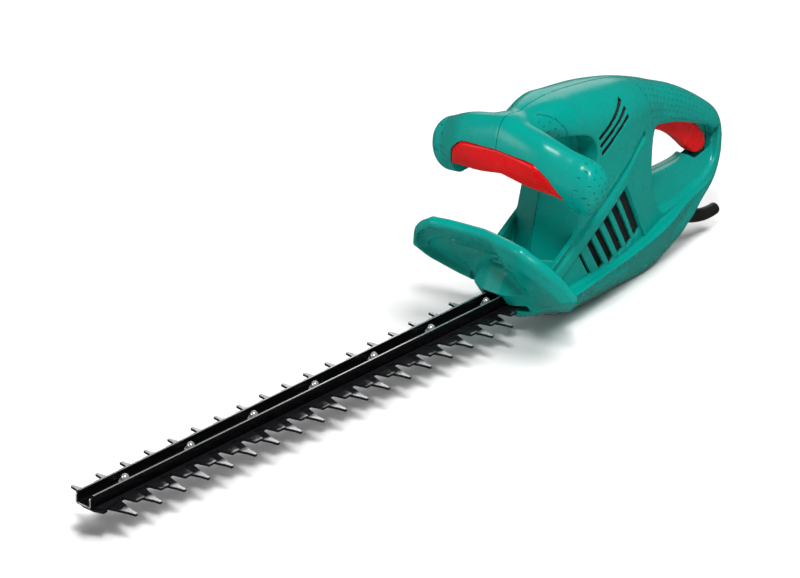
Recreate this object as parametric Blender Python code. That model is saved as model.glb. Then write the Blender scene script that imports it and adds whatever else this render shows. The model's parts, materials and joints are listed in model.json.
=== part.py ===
"""Electric hedge trimmer with a 45 cm double-edged blade, as separate pieces.

The tool lies level on the flat underside of its body. The blade points to -X, the rear
handle to +X, the tool's left side is -Y and +Z is up. The origin is the bottom centre of
the bounding box. Shapes are given in millimetres as (s, y, h): s is the distance from the
tip of the blade rail towards the rear, y the distance to the right of the parting plane,
and h a height above a datum 5.5 mm below the flat underside.
"""
import math

import bmesh
import bpy
from mathutils import Matrix, Vector

MM = 0.001
LENGTH = 764.6        # blade rail tip to the end of the cord sleeve
UNDERSIDE = 5.5       # h of the flat underside
GAP = 0.3             # between pieces that touch
PARTING = 0.15        # half of the gap between the two housing shells
WALL = 3.0            # housing wall

# Blade
PITCH = 25.0          # 16 mm tooth opening plus a 9 mm tooth
TEETH = 18            # long teeth on each edge: 18 x 25 mm = 450 mm of cutting length
FIRST_TOOTH = 21.0
LONG_TIP = 32.4       # half width over the long teeth
SHORT_TIP = 21.5      # half width over the short teeth
BAR_HALF = 8.8        # half width of both blades between the teeth
SHORT_SHIFT = 15.5    # how far the short teeth lie behind the long ones at rest
COMB_H = (32.0, 34.0)
CUTTER_H = (34.3, 36.3)
RAIL_H = (36.6, 46.3)
RAIL_HALF = 7.6
RAIL_WALL = 1.5
RAIL_END = 478.0
NUTS = 7
FIRST_NUT = 42.7
NUT_SPACING = 68.27
STROKE = (-12.0, 6.0)  # of the cutter, either way from rest
BOLT_R = 3.4           # shoulder of a blade bolt

# Drive
MOTOR_S = 574.0
GEAR_S = 540.0
MODULE = 1.7
PINION_TEETH = 8
GEAR_TEETH = 32
GEAR_H = (40.0, 47.0)
THROW = 9.0
CRANK_R = 4.0

# Handles
TRIGGER_PIVOT = (661.0, 140.0)
BAR_TRAVEL = 4.0      # of the front switch bar, straight back into the handle
GUARD_PLANE = (450.0, 108.0, 0.829)   # the guard meets the body on s = a + c * (b - h)

GREEN, DARK, RED = (0.0, 0.36, 0.30), (0.02, 0.02, 0.022), (0.62, 0.01, 0.012)
STEEL, BLACK_STEEL, COPPER = (0.62, 0.62, 0.64), (0.025, 0.025, 0.03), (0.72, 0.33, 0.16)
ALUMINIUM, GREY = (0.72, 0.73, 0.75), (0.22, 0.22, 0.23)


def at(s, y, h):
    """A point of the design in the part's own frame, in metres."""
    return Vector(((s - LENGTH / 2) * MM, y * MM, (h - UNDERSIDE) * MM))


def track(*pairs):
    """A smooth curve through (station, value) pairs, without overshoot."""
    xs, ys = [p[0] for p in pairs], [p[1] for p in pairs]
    slopes = [(ys[i + 1] - ys[i]) / (xs[i + 1] - xs[i]) for i in range(len(xs) - 1)]
    tangents = [slopes[0]]
    for a, b in zip(slopes, slopes[1:]):
        tangents.append(0.0 if a * b <= 0 else 2 * a * b / (a + b))
    tangents.append(slopes[-1])

    def value(x):
        x = min(max(x, xs[0]), xs[-1])
        i = max(k for k in range(len(xs) - 1) if xs[k] <= x)
        w = xs[i + 1] - xs[i]
        t = (x - xs[i]) / w
        return ((2 * t**3 - 3 * t**2 + 1) * ys[i] + (t**3 - 2 * t**2 + t) * w * tangents[i]
                + (3 * t**2 - 2 * t**3) * ys[i + 1] + (t**3 - t**2) * w * tangents[i + 1])
    return value


# Scene and helpers ------------------------------------------------------------------------

for old in list(bpy.data.objects):
    bpy.data.objects.remove(old, do_unlink=True)
parts = bpy.data.collections.new("hedge_trimmer")
cutters = bpy.data.collections.new("cutters")
for collection in (parts, cutters):
    bpy.context.scene.collection.children.link(collection)


def material(name, colour, roughness, metallic=0.0):
    made = bpy.data.materials.new(name)
    made.use_nodes = True
    shader = made.node_tree.nodes["Principled BSDF"]
    shader.inputs["Base Color"].default_value = (*colour, 1.0)
    shader.inputs["Roughness"].default_value = roughness
    shader.inputs["Metallic"].default_value = metallic
    return made


def solid(name, mesh, look=None):
    """An object of the trimmer, or a cutter where it has no look."""
    thing = bpy.data.objects.new(name, mesh)
    if look is None:
        cutters.objects.link(thing)
        thing.hide_render = True
        thing.display_type = "WIRE"
    else:
        parts.objects.link(thing)
        colour, roughness, metallic = look
        mesh.materials.append(material(name, colour, roughness, metallic))
    return thing


def from_bmesh(name, bm, look=None):
    bmesh.ops.recalc_face_normals(bm, faces=bm.faces)
    mesh = bpy.data.meshes.new(name)
    bm.to_mesh(mesh)
    bm.free()
    return solid(name, mesh, look)


def loft(name, rings, look=None):
    """A closed solid through rings of equal point count, with flat ends."""
    bm = bmesh.new()
    rows = [[bm.verts.new(at(*p)) for p in ring] for ring in rings]
    count = len(rows[0])
    for near, far in zip(rows, rows[1:]):
        for i in range(count):
            j = (i + 1) % count
            bm.faces.new((near[i], near[j], far[j], far[i]))
    bm.faces.new(rows[0])
    bm.faces.new(rows[-1])
    return from_bmesh(name, bm, look)


def box(name, s, y, h, look=None):
    """A block between two stations, two sides and two heights."""
    bm = bmesh.new()
    bmesh.ops.create_cube(bm, size=1.0)
    size = Vector((s[1] - s[0], y[1] - y[0], h[1] - h[0])) * MM
    middle = at(sum(s) / 2, sum(y) / 2, sum(h) / 2)
    bmesh.ops.transform(bm, matrix=Matrix.Translation(middle) @ Matrix.Diagonal((*size, 1.0)),
                        verts=bm.verts)
    return from_bmesh(name, bm, look)


def disc(name, s, h, radius, look=None, y=0.0, sides=24, top_radius=None, phase=0.0):
    """An upright cylinder or cone between the two heights of h."""
    bm = bmesh.new()
    bmesh.ops.create_cone(bm, cap_ends=True, segments=sides, radius1=radius * MM,
                          radius2=(radius if top_radius is None else top_radius) * MM,
                          depth=(h[1] - h[0]) * MM)
    turn = Matrix.Rotation(phase, 4, "Z")
    bmesh.ops.transform(bm, matrix=Matrix.Translation(at(s, y, sum(h) / 2)) @ turn,
                        verts=bm.verts)
    return from_bmesh(name, bm, look)


def cross_pin(name, s, h, radius, y, look=None, sides=12):
    """A cylinder that lies across the tool between the two values of y."""
    bm = bmesh.new()
    bmesh.ops.create_cone(bm, cap_ends=True, segments=sides, radius1=radius * MM,
                          radius2=radius * MM, depth=(y[1] - y[0]) * MM)
    lay = Matrix.Rotation(math.pi / 2, 4, "X")
    bmesh.ops.transform(bm, matrix=Matrix.Translation(at(s, sum(y) / 2, h)) @ lay,
                        verts=bm.verts)
    return from_bmesh(name, bm, look)


def plate(name, outline, h, look=None):
    """A flat plate with the given (s, y) outline, between two heights."""
    bm = bmesh.new()
    low = bm.faces.new([bm.verts.new(at(s, y, h[0])) for s, y in outline])
    grown = bmesh.ops.extrude_face_region(bm, geom=[low])
    lifted = [v for v in grown["geom"] if isinstance(v, bmesh.types.BMVert)]
    bmesh.ops.translate(bm, verts=lifted, vec=(0, 0, (h[1] - h[0]) * MM))
    return from_bmesh(name, bm, look)


def prism(name, outline, y, look=None):
    """A solid with the given (s, h) side view, between two values of y."""
    bm = bmesh.new()
    near = bm.faces.new([bm.verts.new(at(s, y[0], h)) for s, h in outline])
    grown = bmesh.ops.extrude_face_region(bm, geom=[near])
    moved = [v for v in grown["geom"] if isinstance(v, bmesh.types.BMVert)]
    bmesh.ops.translate(bm, verts=moved, vec=(0, (y[1] - y[0]) * MM, 0))
    return from_bmesh(name, bm, look)


def turned(name, profile, s, y=0.0, look=None, sides=12, tilt=None):
    """A solid of revolution from (radius, height) pairs that start and end on the axis.

    The profile runs down the outer side. The axis stands upright at (s, y), or is turned by
    tilt about the point (s, y, 0)."""
    mesh = bpy.data.meshes.new(name)
    bm = bmesh.new()
    points = [bm.verts.new((r * MM, 0.0, h * MM)) for r, h in profile]
    edges = [bm.edges.new(pair) for pair in zip(points, points[1:])]
    bmesh.ops.spin(bm, geom=points + edges, cent=(0, 0, 0), axis=(0, 0, 1),
                   angle=2 * math.pi, steps=sides, use_merge=True)
    bmesh.ops.remove_doubles(bm, verts=bm.verts, dist=1e-6)
    place = Matrix.Translation(at(s, y, 0)) @ (tilt or Matrix.Identity(4))
    bmesh.ops.transform(bm, matrix=place, verts=bm.verts)
    bmesh.ops.recalc_face_normals(bm, faces=bm.faces)
    bm.to_mesh(mesh)
    bm.free()
    return solid(name, mesh, look)


def tidy(mesh):
    """Splits faces into triangles and removes slivers, so that the next Boolean is exact."""
    bm = bmesh.new()
    bm.from_mesh(mesh)
    bmesh.ops.remove_doubles(bm, verts=bm.verts, dist=2e-6)
    bmesh.ops.dissolve_degenerate(bm, edges=bm.edges, dist=2e-6)
    bmesh.ops.triangulate(bm, faces=bm.faces)
    bm.to_mesh(mesh)
    bm.free()


def boolean(thing, cutter, operation="DIFFERENCE"):
    """Applies one Boolean to thing and removes the cutter."""
    tidy(thing.data)
    tidy(cutter.data)
    step = thing.modifiers.new(operation.lower(), "BOOLEAN")
    step.operation = operation
    step.solver = "EXACT"
    step.object = cutter
    graph = bpy.context.evaluated_depsgraph_get()
    result = bpy.data.meshes.new_from_object(thing.evaluated_get(graph))
    thing.modifiers.clear()
    old, thing.data = thing.data, result
    bpy.data.meshes.remove(old)
    bpy.data.objects.remove(cutter, do_unlink=True)
    return thing


def cut(thing, *tools):
    for tool in tools:
        boolean(thing, tool)
    return thing


def join(thing, *others):
    for other in others:
        boolean(thing, other, "UNION")
    return thing


def arc(centre, radius, start, end, count):
    """Points on an arc, in degrees, both ends included."""
    return [(centre[0] + radius * math.cos(math.radians(start + (end - start) * i / (count - 1))),
             centre[1] + radius * math.sin(math.radians(start + (end - start) * i / (count - 1))))
            for i in range(count)]


# Body ------------------------------------------------------------------------------------
# Sections across the tool, given by lines that run along it.

ridge = track((470, 199), (500, 200.5), (530, 200), (565, 197.5), (600, 191.5), (643, 181.5),
              (687, 164.5), (716, 150), (735, 140.5), (748, 128), (754, 115), (756, 103))
keel = track((470, 24), (490, 20), (505, 16), (525, 9.5), (545, 5.5), (640, 5.5), (668, 8),
             (690, 15), (708, 24), (720, 33), (731, 44), (742, 55), (750, 67), (754, 78), (756, 90))
flat_half = track((470, 6), (520, 10), (640, 10), (690, 6), (756, 2))
chine_y = track((470, 36), (495, 42), (513, 44.5), (548, 41.5), (602, 35.5), (657, 29), (694, 22),
                (729, 17), (746, 13), (753, 10), (756, 4))
chine_h = track((470, 38), (513, 41), (548, 43), (602, 45.5), (657, 51.5), (694, 60), (729, 67),
                (746, 81), (752, 90), (756, 95))
panel_y = track((470, 32), (505, 34), (560, 34), (600, 31), (636, 28), (652, 24), (668, 15),
                (700, 13), (743, 13), (753, 9), (756, 3.5))
side_y = track((507, 30), (526, 33), (560, 32), (600, 29), (640, 22), (660, 18), (700, 17),
               (743, 15), (753, 10), (756, 4))
crown_depth = track((507, 26), (560, 34), (600, 36), (650, 24), (700, 18), (740, 16), (756, 6))
lean_fade = track((507, 1), (526, 1), (556, 0), (756, 0))
NECK_FOOT = 79.0      # height at which the neck's front edge is at its own station
NECK_LEAN = 0.234     # how far the neck's front leans back, per height


def neck_width(s):
    """How much of its full width the body has at its wedge-shaped front."""
    return min(1.0, max(0.06, (s - 507.0) / 19.0))


def body_half(s, inset=0.0):
    """The right half of one section as (y, h), from the underside to the ridge."""
    low, high = keel(s) + inset, ridge(s) - inset
    wide = neck_width(s)
    cy, py, sy = (max(f(s) * wide - inset, 1.0) for f in (chine_y, panel_y, side_y))
    ch = chine_h(s)
    flat = min(max(flat_half(s) - inset / 2, 0.6) * wide, 0.45 * cy)
    shoulder = high - crown_depth(s)
    points = [(flat, low)]
    for t in (0.3, 0.6, 0.85):
        bulge = math.sin(t * math.pi) * 0.10
        points.append((flat + (cy - flat) * (t + bulge), low + (ch - low) * (t - bulge)))
    points += [(cy, ch), (py, ch + min(3.0, 0.2 * (shoulder - ch))),
               (py, ch + 0.45 * (shoulder - ch)), (sy, shoulder)]
    for angle in (25, 48, 68, 84):
        a = math.radians(angle)
        points.append((sy * math.cos(a) ** 0.85, shoulder + (high - shoulder) * math.sin(a) ** 0.95))
    return points


def body_ring(s, inset=0.0):
    half = body_half(s, inset)
    fade = lean_fade(s)
    ring = [(y, h) for y, h in half] + [(-y, h) for y, h in reversed(half)]
    return [(s + fade * NECK_LEAN * (h - NECK_FOOT), y, h) for y, h in ring]


BODY_STATIONS = [507, 512, 526, 545, 565, 590, 615, 636, 650, 664, 680, 698, 716, 730, 741, 749,
                 754, 756]
CHAMBER_STATIONS = [516, 526, 545, 565, 590, 615, 636, 650, 664, 680, 698, 716, 728]

# The sloping rail on each side: the upper edge of the recessed panel.
RAIL_FOOT = (486.0, 62.0)
RAIL_TOP = (612.0, 143.5)
RAIL_ANGLE = math.atan2(RAIL_TOP[1] - RAIL_FOOT[1], RAIL_TOP[0] - RAIL_FOOT[0])


def rail_height(s):
    return RAIL_FOOT[1] + math.tan(RAIL_ANGLE) * (s - RAIL_FOOT[0])


def cradle_ring(s, inset=0.0):
    """The low front of the body, between the guard and the neck."""
    low, top = keel(s) + inset, rail_height(s) - inset
    cy, py, ch = chine_y(s) - inset, panel_y(s) - inset, chine_h(s)
    flat = flat_half(s)
    half = [(flat, low), (flat + 0.45 * (cy - flat), low + 0.3 * (ch - low)), (cy, ch),
            (py, ch + 3), (py, top)]
    return [(s, y, h) for y, h in half] + [(s, -y, h) for y, h in reversed(half)]


def crown_ring(s, width, low, top):
    """The bridge from the top of the body forward to the front handle."""
    half = [(width * 0.7, low), (width, low + 5), (width, low + 13)]
    half += [(width * math.cos(a) ** 0.8, low + 13 + (top - low - 13) * math.sin(a))
             for a in (0.6, 1.05, 1.4)]
    return [(s, y, h) for y, h in half] + [(s, -y, h) for y, h in reversed(half)]


# The front handle: sections across its own length, which runs from left to right.
bow_s = track((0, 477), (30, 476), (50, 479), (70, 485), (87, 489))
bow_h = track((0, 171), (25, 167.5), (45, 159), (65, 149.5), (80, 147), (87, 148))
bow_depth = track((0, 23.5), (50, 22), (70, 20), (80, 15.5), (85, 9.5), (87, 4))
bow_height = track((0, 28), (25, 26), (50, 25.5), (68, 24), (78, 18.5), (84, 11.5), (87, 5))
BOW_STATIONS = [0, 12, 25, 38, 50, 60, 70, 78, 83, 86, 87]


def bow_ring(y, inset=0.0, sides=18):
    a, b = bow_depth(abs(y)) - inset, bow_height(abs(y)) - inset
    ring = []
    for i in range(sides):
        turn = 2 * math.pi * (i + 0.5) / sides
        c, d = math.cos(turn), math.sin(turn)
        ring.append((bow_s(abs(y)) + a * math.copysign(abs(c) ** 0.85, c), y,
                     bow_h(abs(y)) + b * math.copysign(abs(d) ** 0.85, d)))
    return ring


def both_ways(stations):
    return [-y for y in reversed(stations) if y] + list(stations)


# The opening of the rear handle, as a (s, h) outline that runs anticlockwise.
HANDLE_HOLE = [(648, 95), (662, 90), (700, 90), (714, 94), (728, 99), (737, 105), (736, 113),
               (722, 121), (706, 128), (688, 133), (668, 137), (652, 138), (645, 130), (644, 104)]


def grown(outline, amount):
    """An outline with each point moved straight away from the middle."""
    middle = Vector((sum(p[0] for p in outline), sum(p[1] for p in outline))) / len(outline)
    moved = [Vector(p) + (Vector(p) - middle).normalized() * amount for p in outline]
    return [(p.x, p.y) for p in moved]


def hole_cutter(name, extra=0.0):
    """The opening, widening towards both sides so that the edges around it are round."""
    rings = []
    for y, grow in ((-40, 7), (-17, 6), (-13, 3), (-7, 0.4), (7, 0.4), (13, 3), (17, 6), (40, 7)):
        rings.append([(s, y, h) for s, h in grown(HANDLE_HOLE, grow + extra)])
    return loft(name, rings)


def guard_side(name, ahead, shift=0.0):
    """A block that holds everything ahead of the guard's rear plane, or behind it."""
    a, b, c = GUARD_PLANE
    top, low = 260.0, -60.0
    edge = [(a + c * (b - top) + shift, top), (a + c * (b - low) + shift, low)]
    far = -60.0 if ahead else 900.0
    return prism(name, [*edge, (far, low), (far, top)], (-150, 150))


def rail_frame(u, v):
    """A point u along the side rail from its foot, and v down square to it."""
    c, d = math.cos(RAIL_ANGLE), math.sin(RAIL_ANGLE)
    return RAIL_FOOT[0] + u * c + v * d, RAIL_FOOT[1] + u * d - v * c


def body_width(s, h):
    """Half width of the body at one place of the side view."""
    points = body_half(s)
    for (y0, h0), (y1, h1) in zip(points, points[1:]):
        if h0 <= h <= h1 and h1 > h0:
            return y0 + (y1 - y0) * (h - h0) / (h1 - h0)
    return points[-1][0]


# Screws that hold the two shells together, driven from the right: (s, h).
SCREW_PLACES = [(540, 20), (604, 20), (664, 28), (734, 73), (709, 143), (640, 160), (612, 176),
                (562, 182), (509, 186)]
SCREW_R, SCREW_HEAD_R, HEAD_DEPTH = 1.6, 3.4, 3.0


def screw_seat(s, h):
    """Distance of a housing screw's head from the parting plane."""
    return 12.0 if s < 520 else min(body_width(s, h) - 4.0, 24.0)


VENTS = 6
VENT_STEP = 10.2
VENT_WIDTHS = (2.5, 4.6, 5.6, 5.8, 6.0, 6.2)


def vent_outline(i):
    """One slanted slot of the side grille."""
    u, half = 51.5 + VENT_STEP * i, VENT_WIDTHS[i] / 2
    low = 36.0 + 3.9 * i
    return [rail_frame(u - half, 6.5), rail_frame(u + half, 6.5), rail_frame(u + half, low),
            rail_frame(u - half, low - 1.5)]


def upper_slot_outline(i):
    """One of the three narrow slots above the rail."""
    s, h = 562.0 + 1.6 * i, 153.0 - 5.4 * i
    along = Vector((math.cos(math.radians(39)), math.sin(math.radians(39))))
    square = Vector((-along.y, along.x)) * 1.2
    foot, head = Vector((s, h)), Vector((s, h)) + along * 44.0
    return [tuple(p) for p in (foot - square, head - square, head + square, foot + square)]


def bar_ring(y, grow=0.0, travel=0.0):
    """Section of the front switch bar; grow and travel give the room cut for it."""
    f = abs(y)
    ts, th, ls, lh = bar_top_s(f), bar_top_h(f), bar_low_s(f), bar_low_h(f)
    if travel:
        return [(ts - 14, y, th + grow), (ls - 14, y, lh - 16), (ls + 13 + travel, y, lh - 16),
                (ls + 13 + travel, y, lh + 8), (ts + 13 + travel, y, th + grow)]
    return [(ts, y, th), ((ts + ls) / 2 - 2.2, y, (th + lh) / 2 + 1), (ls, y, lh),
            (ls + 9, y, lh - 0.5), (ls + 11, y, lh + 6), (ts + 12, y, th)]


bar_top_s = track((0, 460), (34, 460.5), (48, 465), (55, 470))
bar_top_h = track((0, 170), (20, 169), (34, 165.5), (48, 157), (55, 148))
bar_low_s = track((0, 467), (27, 471), (55, 477))
bar_low_h = track((0, 148), (27, 142), (48, 138.5), (55, 139.5))
BAR_STATIONS = [0, 18, 34, 46, 55]

# The trigger, in side view, and the room cut for it.
TRIGGER = [(655, 134), (673, 128.5), (690, 119.5), (704, 108.5), (714, 97), (721, 90.5), (729, 89),
           (733.5, 93), (733, 101), (726, 111), (713, 121.5), (700, 129.5), (685, 137), (672, 143.5),
           (661, 147), (654.5, 143)]
TRIGGER_ROOM = [(649, 129), (690, 106), (724, 84), (739.5, 86), (741, 100), (738, 110), (728, 122),
                (714, 131.5), (700, 139), (685, 145.5), (672, 149.5), (660, 152), (650, 150)]
TRIGGER_HALF = 6.5

# The cord sleeve's centre line, as (s, h), and its radii along the way.
SLEEVE = [(700, 37.5), (711, 35), (721, 31.8), (731, 28.6), (740, 26.3), (749, 25), (757, 24.8),
          (764, 25.5)]


def sleeve_tube(name, radius_in, radius_out, path, look=None):
    """A tube of changing radius along a (s, h) path on the parting plane."""
    rings = []
    for i, (s, h) in enumerate(path):
        before, after = path[max(i - 1, 0)], path[min(i + 1, len(path) - 1)]
        run = Vector((after[0] - before[0], after[1] - before[1])).normalized()
        radius = radius_in + (radius_out - radius_in) * i / (len(path) - 1)
        rings.append([(s - run.y * radius * math.sin(a), radius * math.cos(a),
                       h + run.x * radius * math.sin(a))
                      for a in (2 * math.pi * k / 12 for k in range(12))])
    return loft(name, rings, look)


def build_housings():
    body = loft("body", [body_ring(s) for s in BODY_STATIONS])
    cradle = loft("cradle", [cradle_ring(s) for s in (478, 490, 505, 520, 532)])
    cut(cradle, prism("valley", [(440, 66), (500, 66), (508.5, 92), (508.5, 140), (440, 140)],
                      (-28, 28)))
    crown = loft("crown", [crown_ring(s, w, low, top) for s, w, low, top in
                           ((462, 20, 168, 194), (480, 21, 170, 198), (505, 23, 172, 200.5),
                            (530, 25, 172, 199.5), (556, 26, 172, 197))])
    bow = loft("bow", [bow_ring(y) for y in both_ways(BOW_STATIONS)])
    for piece in (body, cradle):
        cut(piece, guard_side("front", ahead=True, shift=GAP))
    join(body, cradle, crown, bow)

    chamber = loft("chamber", [body_ring(s, WALL) for s in CHAMBER_STATIONS])
    room = loft("room", [cradle_ring(s, WALL) for s in (470, 490, 505, 520, 533)])
    cut(room, prism("neck_floor", [(440, 60), (507, 60), (540, 84), (540, 200), (440, 200)],
                    (-60, 60)))
    join(chamber, room)
    join(chamber, loft("crown_room", [crown_ring(s, w - WALL, low + WALL, top - WALL)
                                      for s, w, low, top in
                                      ((480, 20, 170, 197), (505, 22, 172, 199.5),
                                       (530, 24, 172, 198.5), (550, 25, 172, 196))]))
    join(chamber, loft("bow_room", [bow_ring(y, WALL, 14)
                                    for y in both_ways([0, 25, 50, 70, 79])]))
    for sign in (-1, 1):
        sides = sorted((sign * 14, sign * 95))
        cut(body, cross_pin("pocket", 520, 148, 24, sides, sides=20))
        sides = sorted((sign * 11, sign * 97))
        cut(chamber, cross_pin("pocket_wall", 520, 148, 27.4, sides, sides=22))
    cut(body, hole_cutter("handle_hole"))
    cut(chamber, hole_cutter("hole_wall", WALL))
    for s, h in SCREW_PLACES:
        cut(chamber, cross_pin("boss", s, h, 4.4, (-60, 60), sides=10))
    cut(body, chamber)

    cut(body, prism("trigger_room", TRIGGER_ROOM, (-7.3, 7.3)))
    cut(body, loft("bar_room", [bar_ring(y, 0.5, BAR_TRAVEL + 0.5)
                                for y in both_ways([0, 18, 34, 46, 56])]))
    for sign in (-1, 1):
        for i in range(VENTS):
            cut(body, prism("vent", vent_outline(i), sorted((sign * 20, sign * 60))))
        for i in range(3):
            cut(body, prism("slot", upper_slot_outline(i), sorted((sign * 10, sign * 60))))
    for s, h in SCREW_PLACES:
        seat = screw_seat(s, h)
        cut(body, cross_pin("screw_hole", s, h, SCREW_R + GAP, (-seat + 3.5, seat + 1)))
        cut(body, cross_pin("counterbore", s, h, SCREW_HEAD_R + 0.6, (seat, 90)))
    cut(body, sleeve_tube("sleeve_hole", 7.1, 7.0, [(694, 39.2), *SLEEVE[:5]]))
    cut(body, cross_pin("pivot_hole", *TRIGGER_PIVOT, 2.3, (-13, 13)))

    for name, side in (("housing_left", -1), ("housing_right", 1)):
        half = solid(name, body.data.copy(), (GREEN, 0.35, 0.0))
        away = sorted((side * PARTING, -side * 200))
        cut(half, box("other_side", (-50, 900), away, (-60, 260)))
    bpy.data.objects.remove(body, do_unlink=True)


# Hand guard ------------------------------------------------------------------------------

guard_top_s = track((0, 440), (30, 436), (44, 435), (61, 440), (74, 450), (80, 456), (84, 461))
guard_top_h = track((0, 105), (30, 104.5), (44, 103), (61, 95), (74, 82), (80, 74), (84, 67))
guard_low_s = track((0, 492), (44, 493), (55, 490), (65, 482), (74, 471), (80, 465.5), (84, 461.5))
guard_low_h = track((0, 36), (44, 38), (55, 41), (65, 48), (74, 56), (80, 62), (84, 65))
guard_thick = track((0, 9.5), (60, 9), (78, 7.5), (84, 3.5))
guard_dish = track((0, 2), (20, 3.5), (60, 4), (78, 1), (84, 0.1))
GUARD_STATIONS = [0, 15, 30, 44, 54, 64, 73, 79, 84]


def guard_ring(y):
    """Section of the shield: a thick plate with a round rim and a dished front."""
    f = abs(y)
    top, low = Vector((guard_top_s(f), guard_top_h(f))), Vector((guard_low_s(f), guard_low_h(f)))
    chord = (low - top).normalized()
    back = Vector((-chord.y, chord.x))
    long, thick, dish = (low - top).length, guard_thick(f), guard_dish(f)
    web = thick * 0.55
    points = [top, top + chord * long * 0.15 + back * dish * 0.6,
              top + chord * long * 0.5 + back * dish, top + chord * long * 0.85 + back * dish * 0.6,
              low, low + back * thick * 0.5 + chord * thick * 0.3, low + back * thick,
              top + chord * long * 0.5 + back * (dish + web), top + back * thick,
              top + back * thick * 0.8 - chord * thick * 0.3,
              top + back * thick * 0.2 - chord * thick * 0.3]
    return [(p.x, y, p.y) for p in points]


def nose_ring(s, low, flat, wide, wide_h, top_y, top_h):
    half = [(flat, low), (flat + 0.5 * (wide - flat), low + 0.28 * (wide_h - low)),
            (wide, wide_h), (top_y, top_h)]
    return [(s, y, h) for y, h in half] + [(s, -y, h) for y, h in reversed(half)]


def build_guard():
    guard = loft("hand_guard", [guard_ring(y) for y in both_ways(GUARD_STATIONS)],
                 (GREEN, 0.35, 0.0))
    nose = loft("nose", [nose_ring(*row) for row in
                         ((458, 40, 8, 10, 44, 10, 52), (470, 30, 9, 18, 40, 17, 56),
                          (486, 21, 10, 32, 39, 22, 60), (500, 15, 10, 41, 39.5, 26, 62),
                          (514, 10.5, 10, 44.5, 41, 30, 62), (532, 7.5, 10, 43.6, 42, 30, 62),
                          (548, 5.5, 10, 41.5, 43, 28, 62))])
    cut(nose, guard_side("behind", ahead=False))
    join(guard, nose)
    cut(guard, guard_side("behind", ahead=False))
    cut(guard, box("blade_slot", (440, 560), (-22.5, 22.5), (31.2, 37.3)))
    cut(guard, box("rail_tunnel", (440, 561), (-16, 16), (27.2, 48.7)))


# Blade -----------------------------------------------------------------------------------

def tooth(centre, root_half, tip_half, tip_y, knee=None):
    """Corners of one tooth on the right edge, from its front root to its rear root."""
    knee_half, knee_y = knee or (tip_half, tip_y)
    points = [(centre - root_half, BAR_HALF), (centre - knee_half, knee_y)]
    if knee:
        points += [(centre - tip_half, tip_y), (centre + tip_half, tip_y)]
    points += [(centre + knee_half, knee_y), (centre + root_half, BAR_HALF)]
    return points


def blade_outline(front, first, tail, shape):
    """Both edges of a toothed blade: shape gives each tooth, tail the rear end."""
    edge = list(front)
    for k in range(TEETH):
        edge += shape(first + PITCH * k)
    edge += tail
    return edge + [(s, -y) for s, y in reversed(edge)]


def build_blades():
    comb = plate("comb_blade", blade_outline(
        [(5, 5), (7.5, 13), (11.5, 13)], FIRST_TOOTH,
        [(505, BAR_HALF), (505, 4)],
        lambda s: tooth(s, 7.6, 1.1, LONG_TIP, knee=(1.9, 26.5))), COMB_H, (STEEL, 0.3, 1.0))
    cutter = plate("cutter_blade", blade_outline(
        [(6, 5), (8.5, 11.5), (21, 12)], FIRST_TOOTH + SHORT_SHIFT,
        [(500, BAR_HALF), (510, 18.5), (568, 18.5), (572, 14)],
        lambda s: tooth(s, 7.4, 3.9, SHORT_TIP)), CUTTER_H, (STEEL, 0.3, 1.0))
    slot = BOLT_R + 0.5
    for k in range(NUTS):
        s = FIRST_NUT + NUT_SPACING * k
        cut(comb, disc("hole", s, (30, 36), 2.6, sides=10))
        ends = arc((s - STROKE[0], 0), slot, -90, 90, 5) + arc((s - STROKE[1], 0), slot, 90, 270, 5)
        cut(cutter, plate("slot", ends, (33, 38)))
    sweep = THROW + CRANK_R + 1.0
    window = [(GEAR_S + a * (sweep + 1) - m, b * (sweep + 0.6))
              for a, b, m in ((-1, -1, STROKE[1]), (1, -1, STROKE[0]), (1, 1, STROKE[0]),
                              (-1, 1, STROKE[1]))]
    cut(cutter, plate("yoke", window, (33, 38)))


def build_rail():
    """The black U-shaped rail over the blades, with its bolts and cap nuts."""
    inner = RAIL_HALF - RAIL_WALL
    floor, top = RAIL_H
    side = [(-RAIL_HALF, floor + 1.2), (-RAIL_HALF, top), (-inner, top), (-inner, floor + RAIL_WALL),
            (inner, floor + RAIL_WALL), (inner, top), (RAIL_HALF, top), (RAIL_HALF, floor + 1.2),
            (RAIL_HALF - 1.2, floor), (-RAIL_HALF + 1.2, floor)]
    rail = loft("blade_rail", [[(s, y, h) for y, h in side] for s in (0.0, RAIL_END)],
                (BLACK_STEEL, 0.4, 0.8))
    for y in (-12, 12):
        corner = prism("corner", [(-1, top + 1), (-1, top - 3.4), (0.6, top - 1.4), (2.6, top - 0.3),
                                  (5, top + 1)], sorted((y, y / 3)))
        cut(rail, corner)
    cut(rail, disc("end_hole", 7.5, (floor - 2, top), 2.2, sides=10))
    for k in range(NUTS):
        cut(rail, disc("hole", FIRST_NUT + NUT_SPACING * k, (floor - 2, top), 2.6, sides=10))
    for k in range(NUTS):
        s = FIRST_NUT + NUT_SPACING * k
        seat = floor + RAIL_WALL + GAP
        turned(f"blade_nut_{k + 1}", [(0, 46.6), (1.9, 46.0), (3.0, 44.4), (3.2, seat + 1.6),
                                      (4.4, seat + 1.2), (4.6, seat), (2.5, seat), (2.5, 43.6),
                                      (0, 43.6)], s, look=((0.75, 0.75, 0.77), 0.25, 1.0), sides=10)
        turned(f"blade_bolt_{k + 1}", [(0, 43.2), (2.1, 43.2), (2.1, 36.1), (BOLT_R, 36.1),
                                       (BOLT_R, 34.2), (2.1, 34.2), (2.1, 31.7), (4.6, 31.7),
                                       (4.2, 29.6), (0, 29.4)], s,
               look=(STEEL, 0.35, 1.0), sides=10)


# Drive -----------------------------------------------------------------------------------

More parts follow.
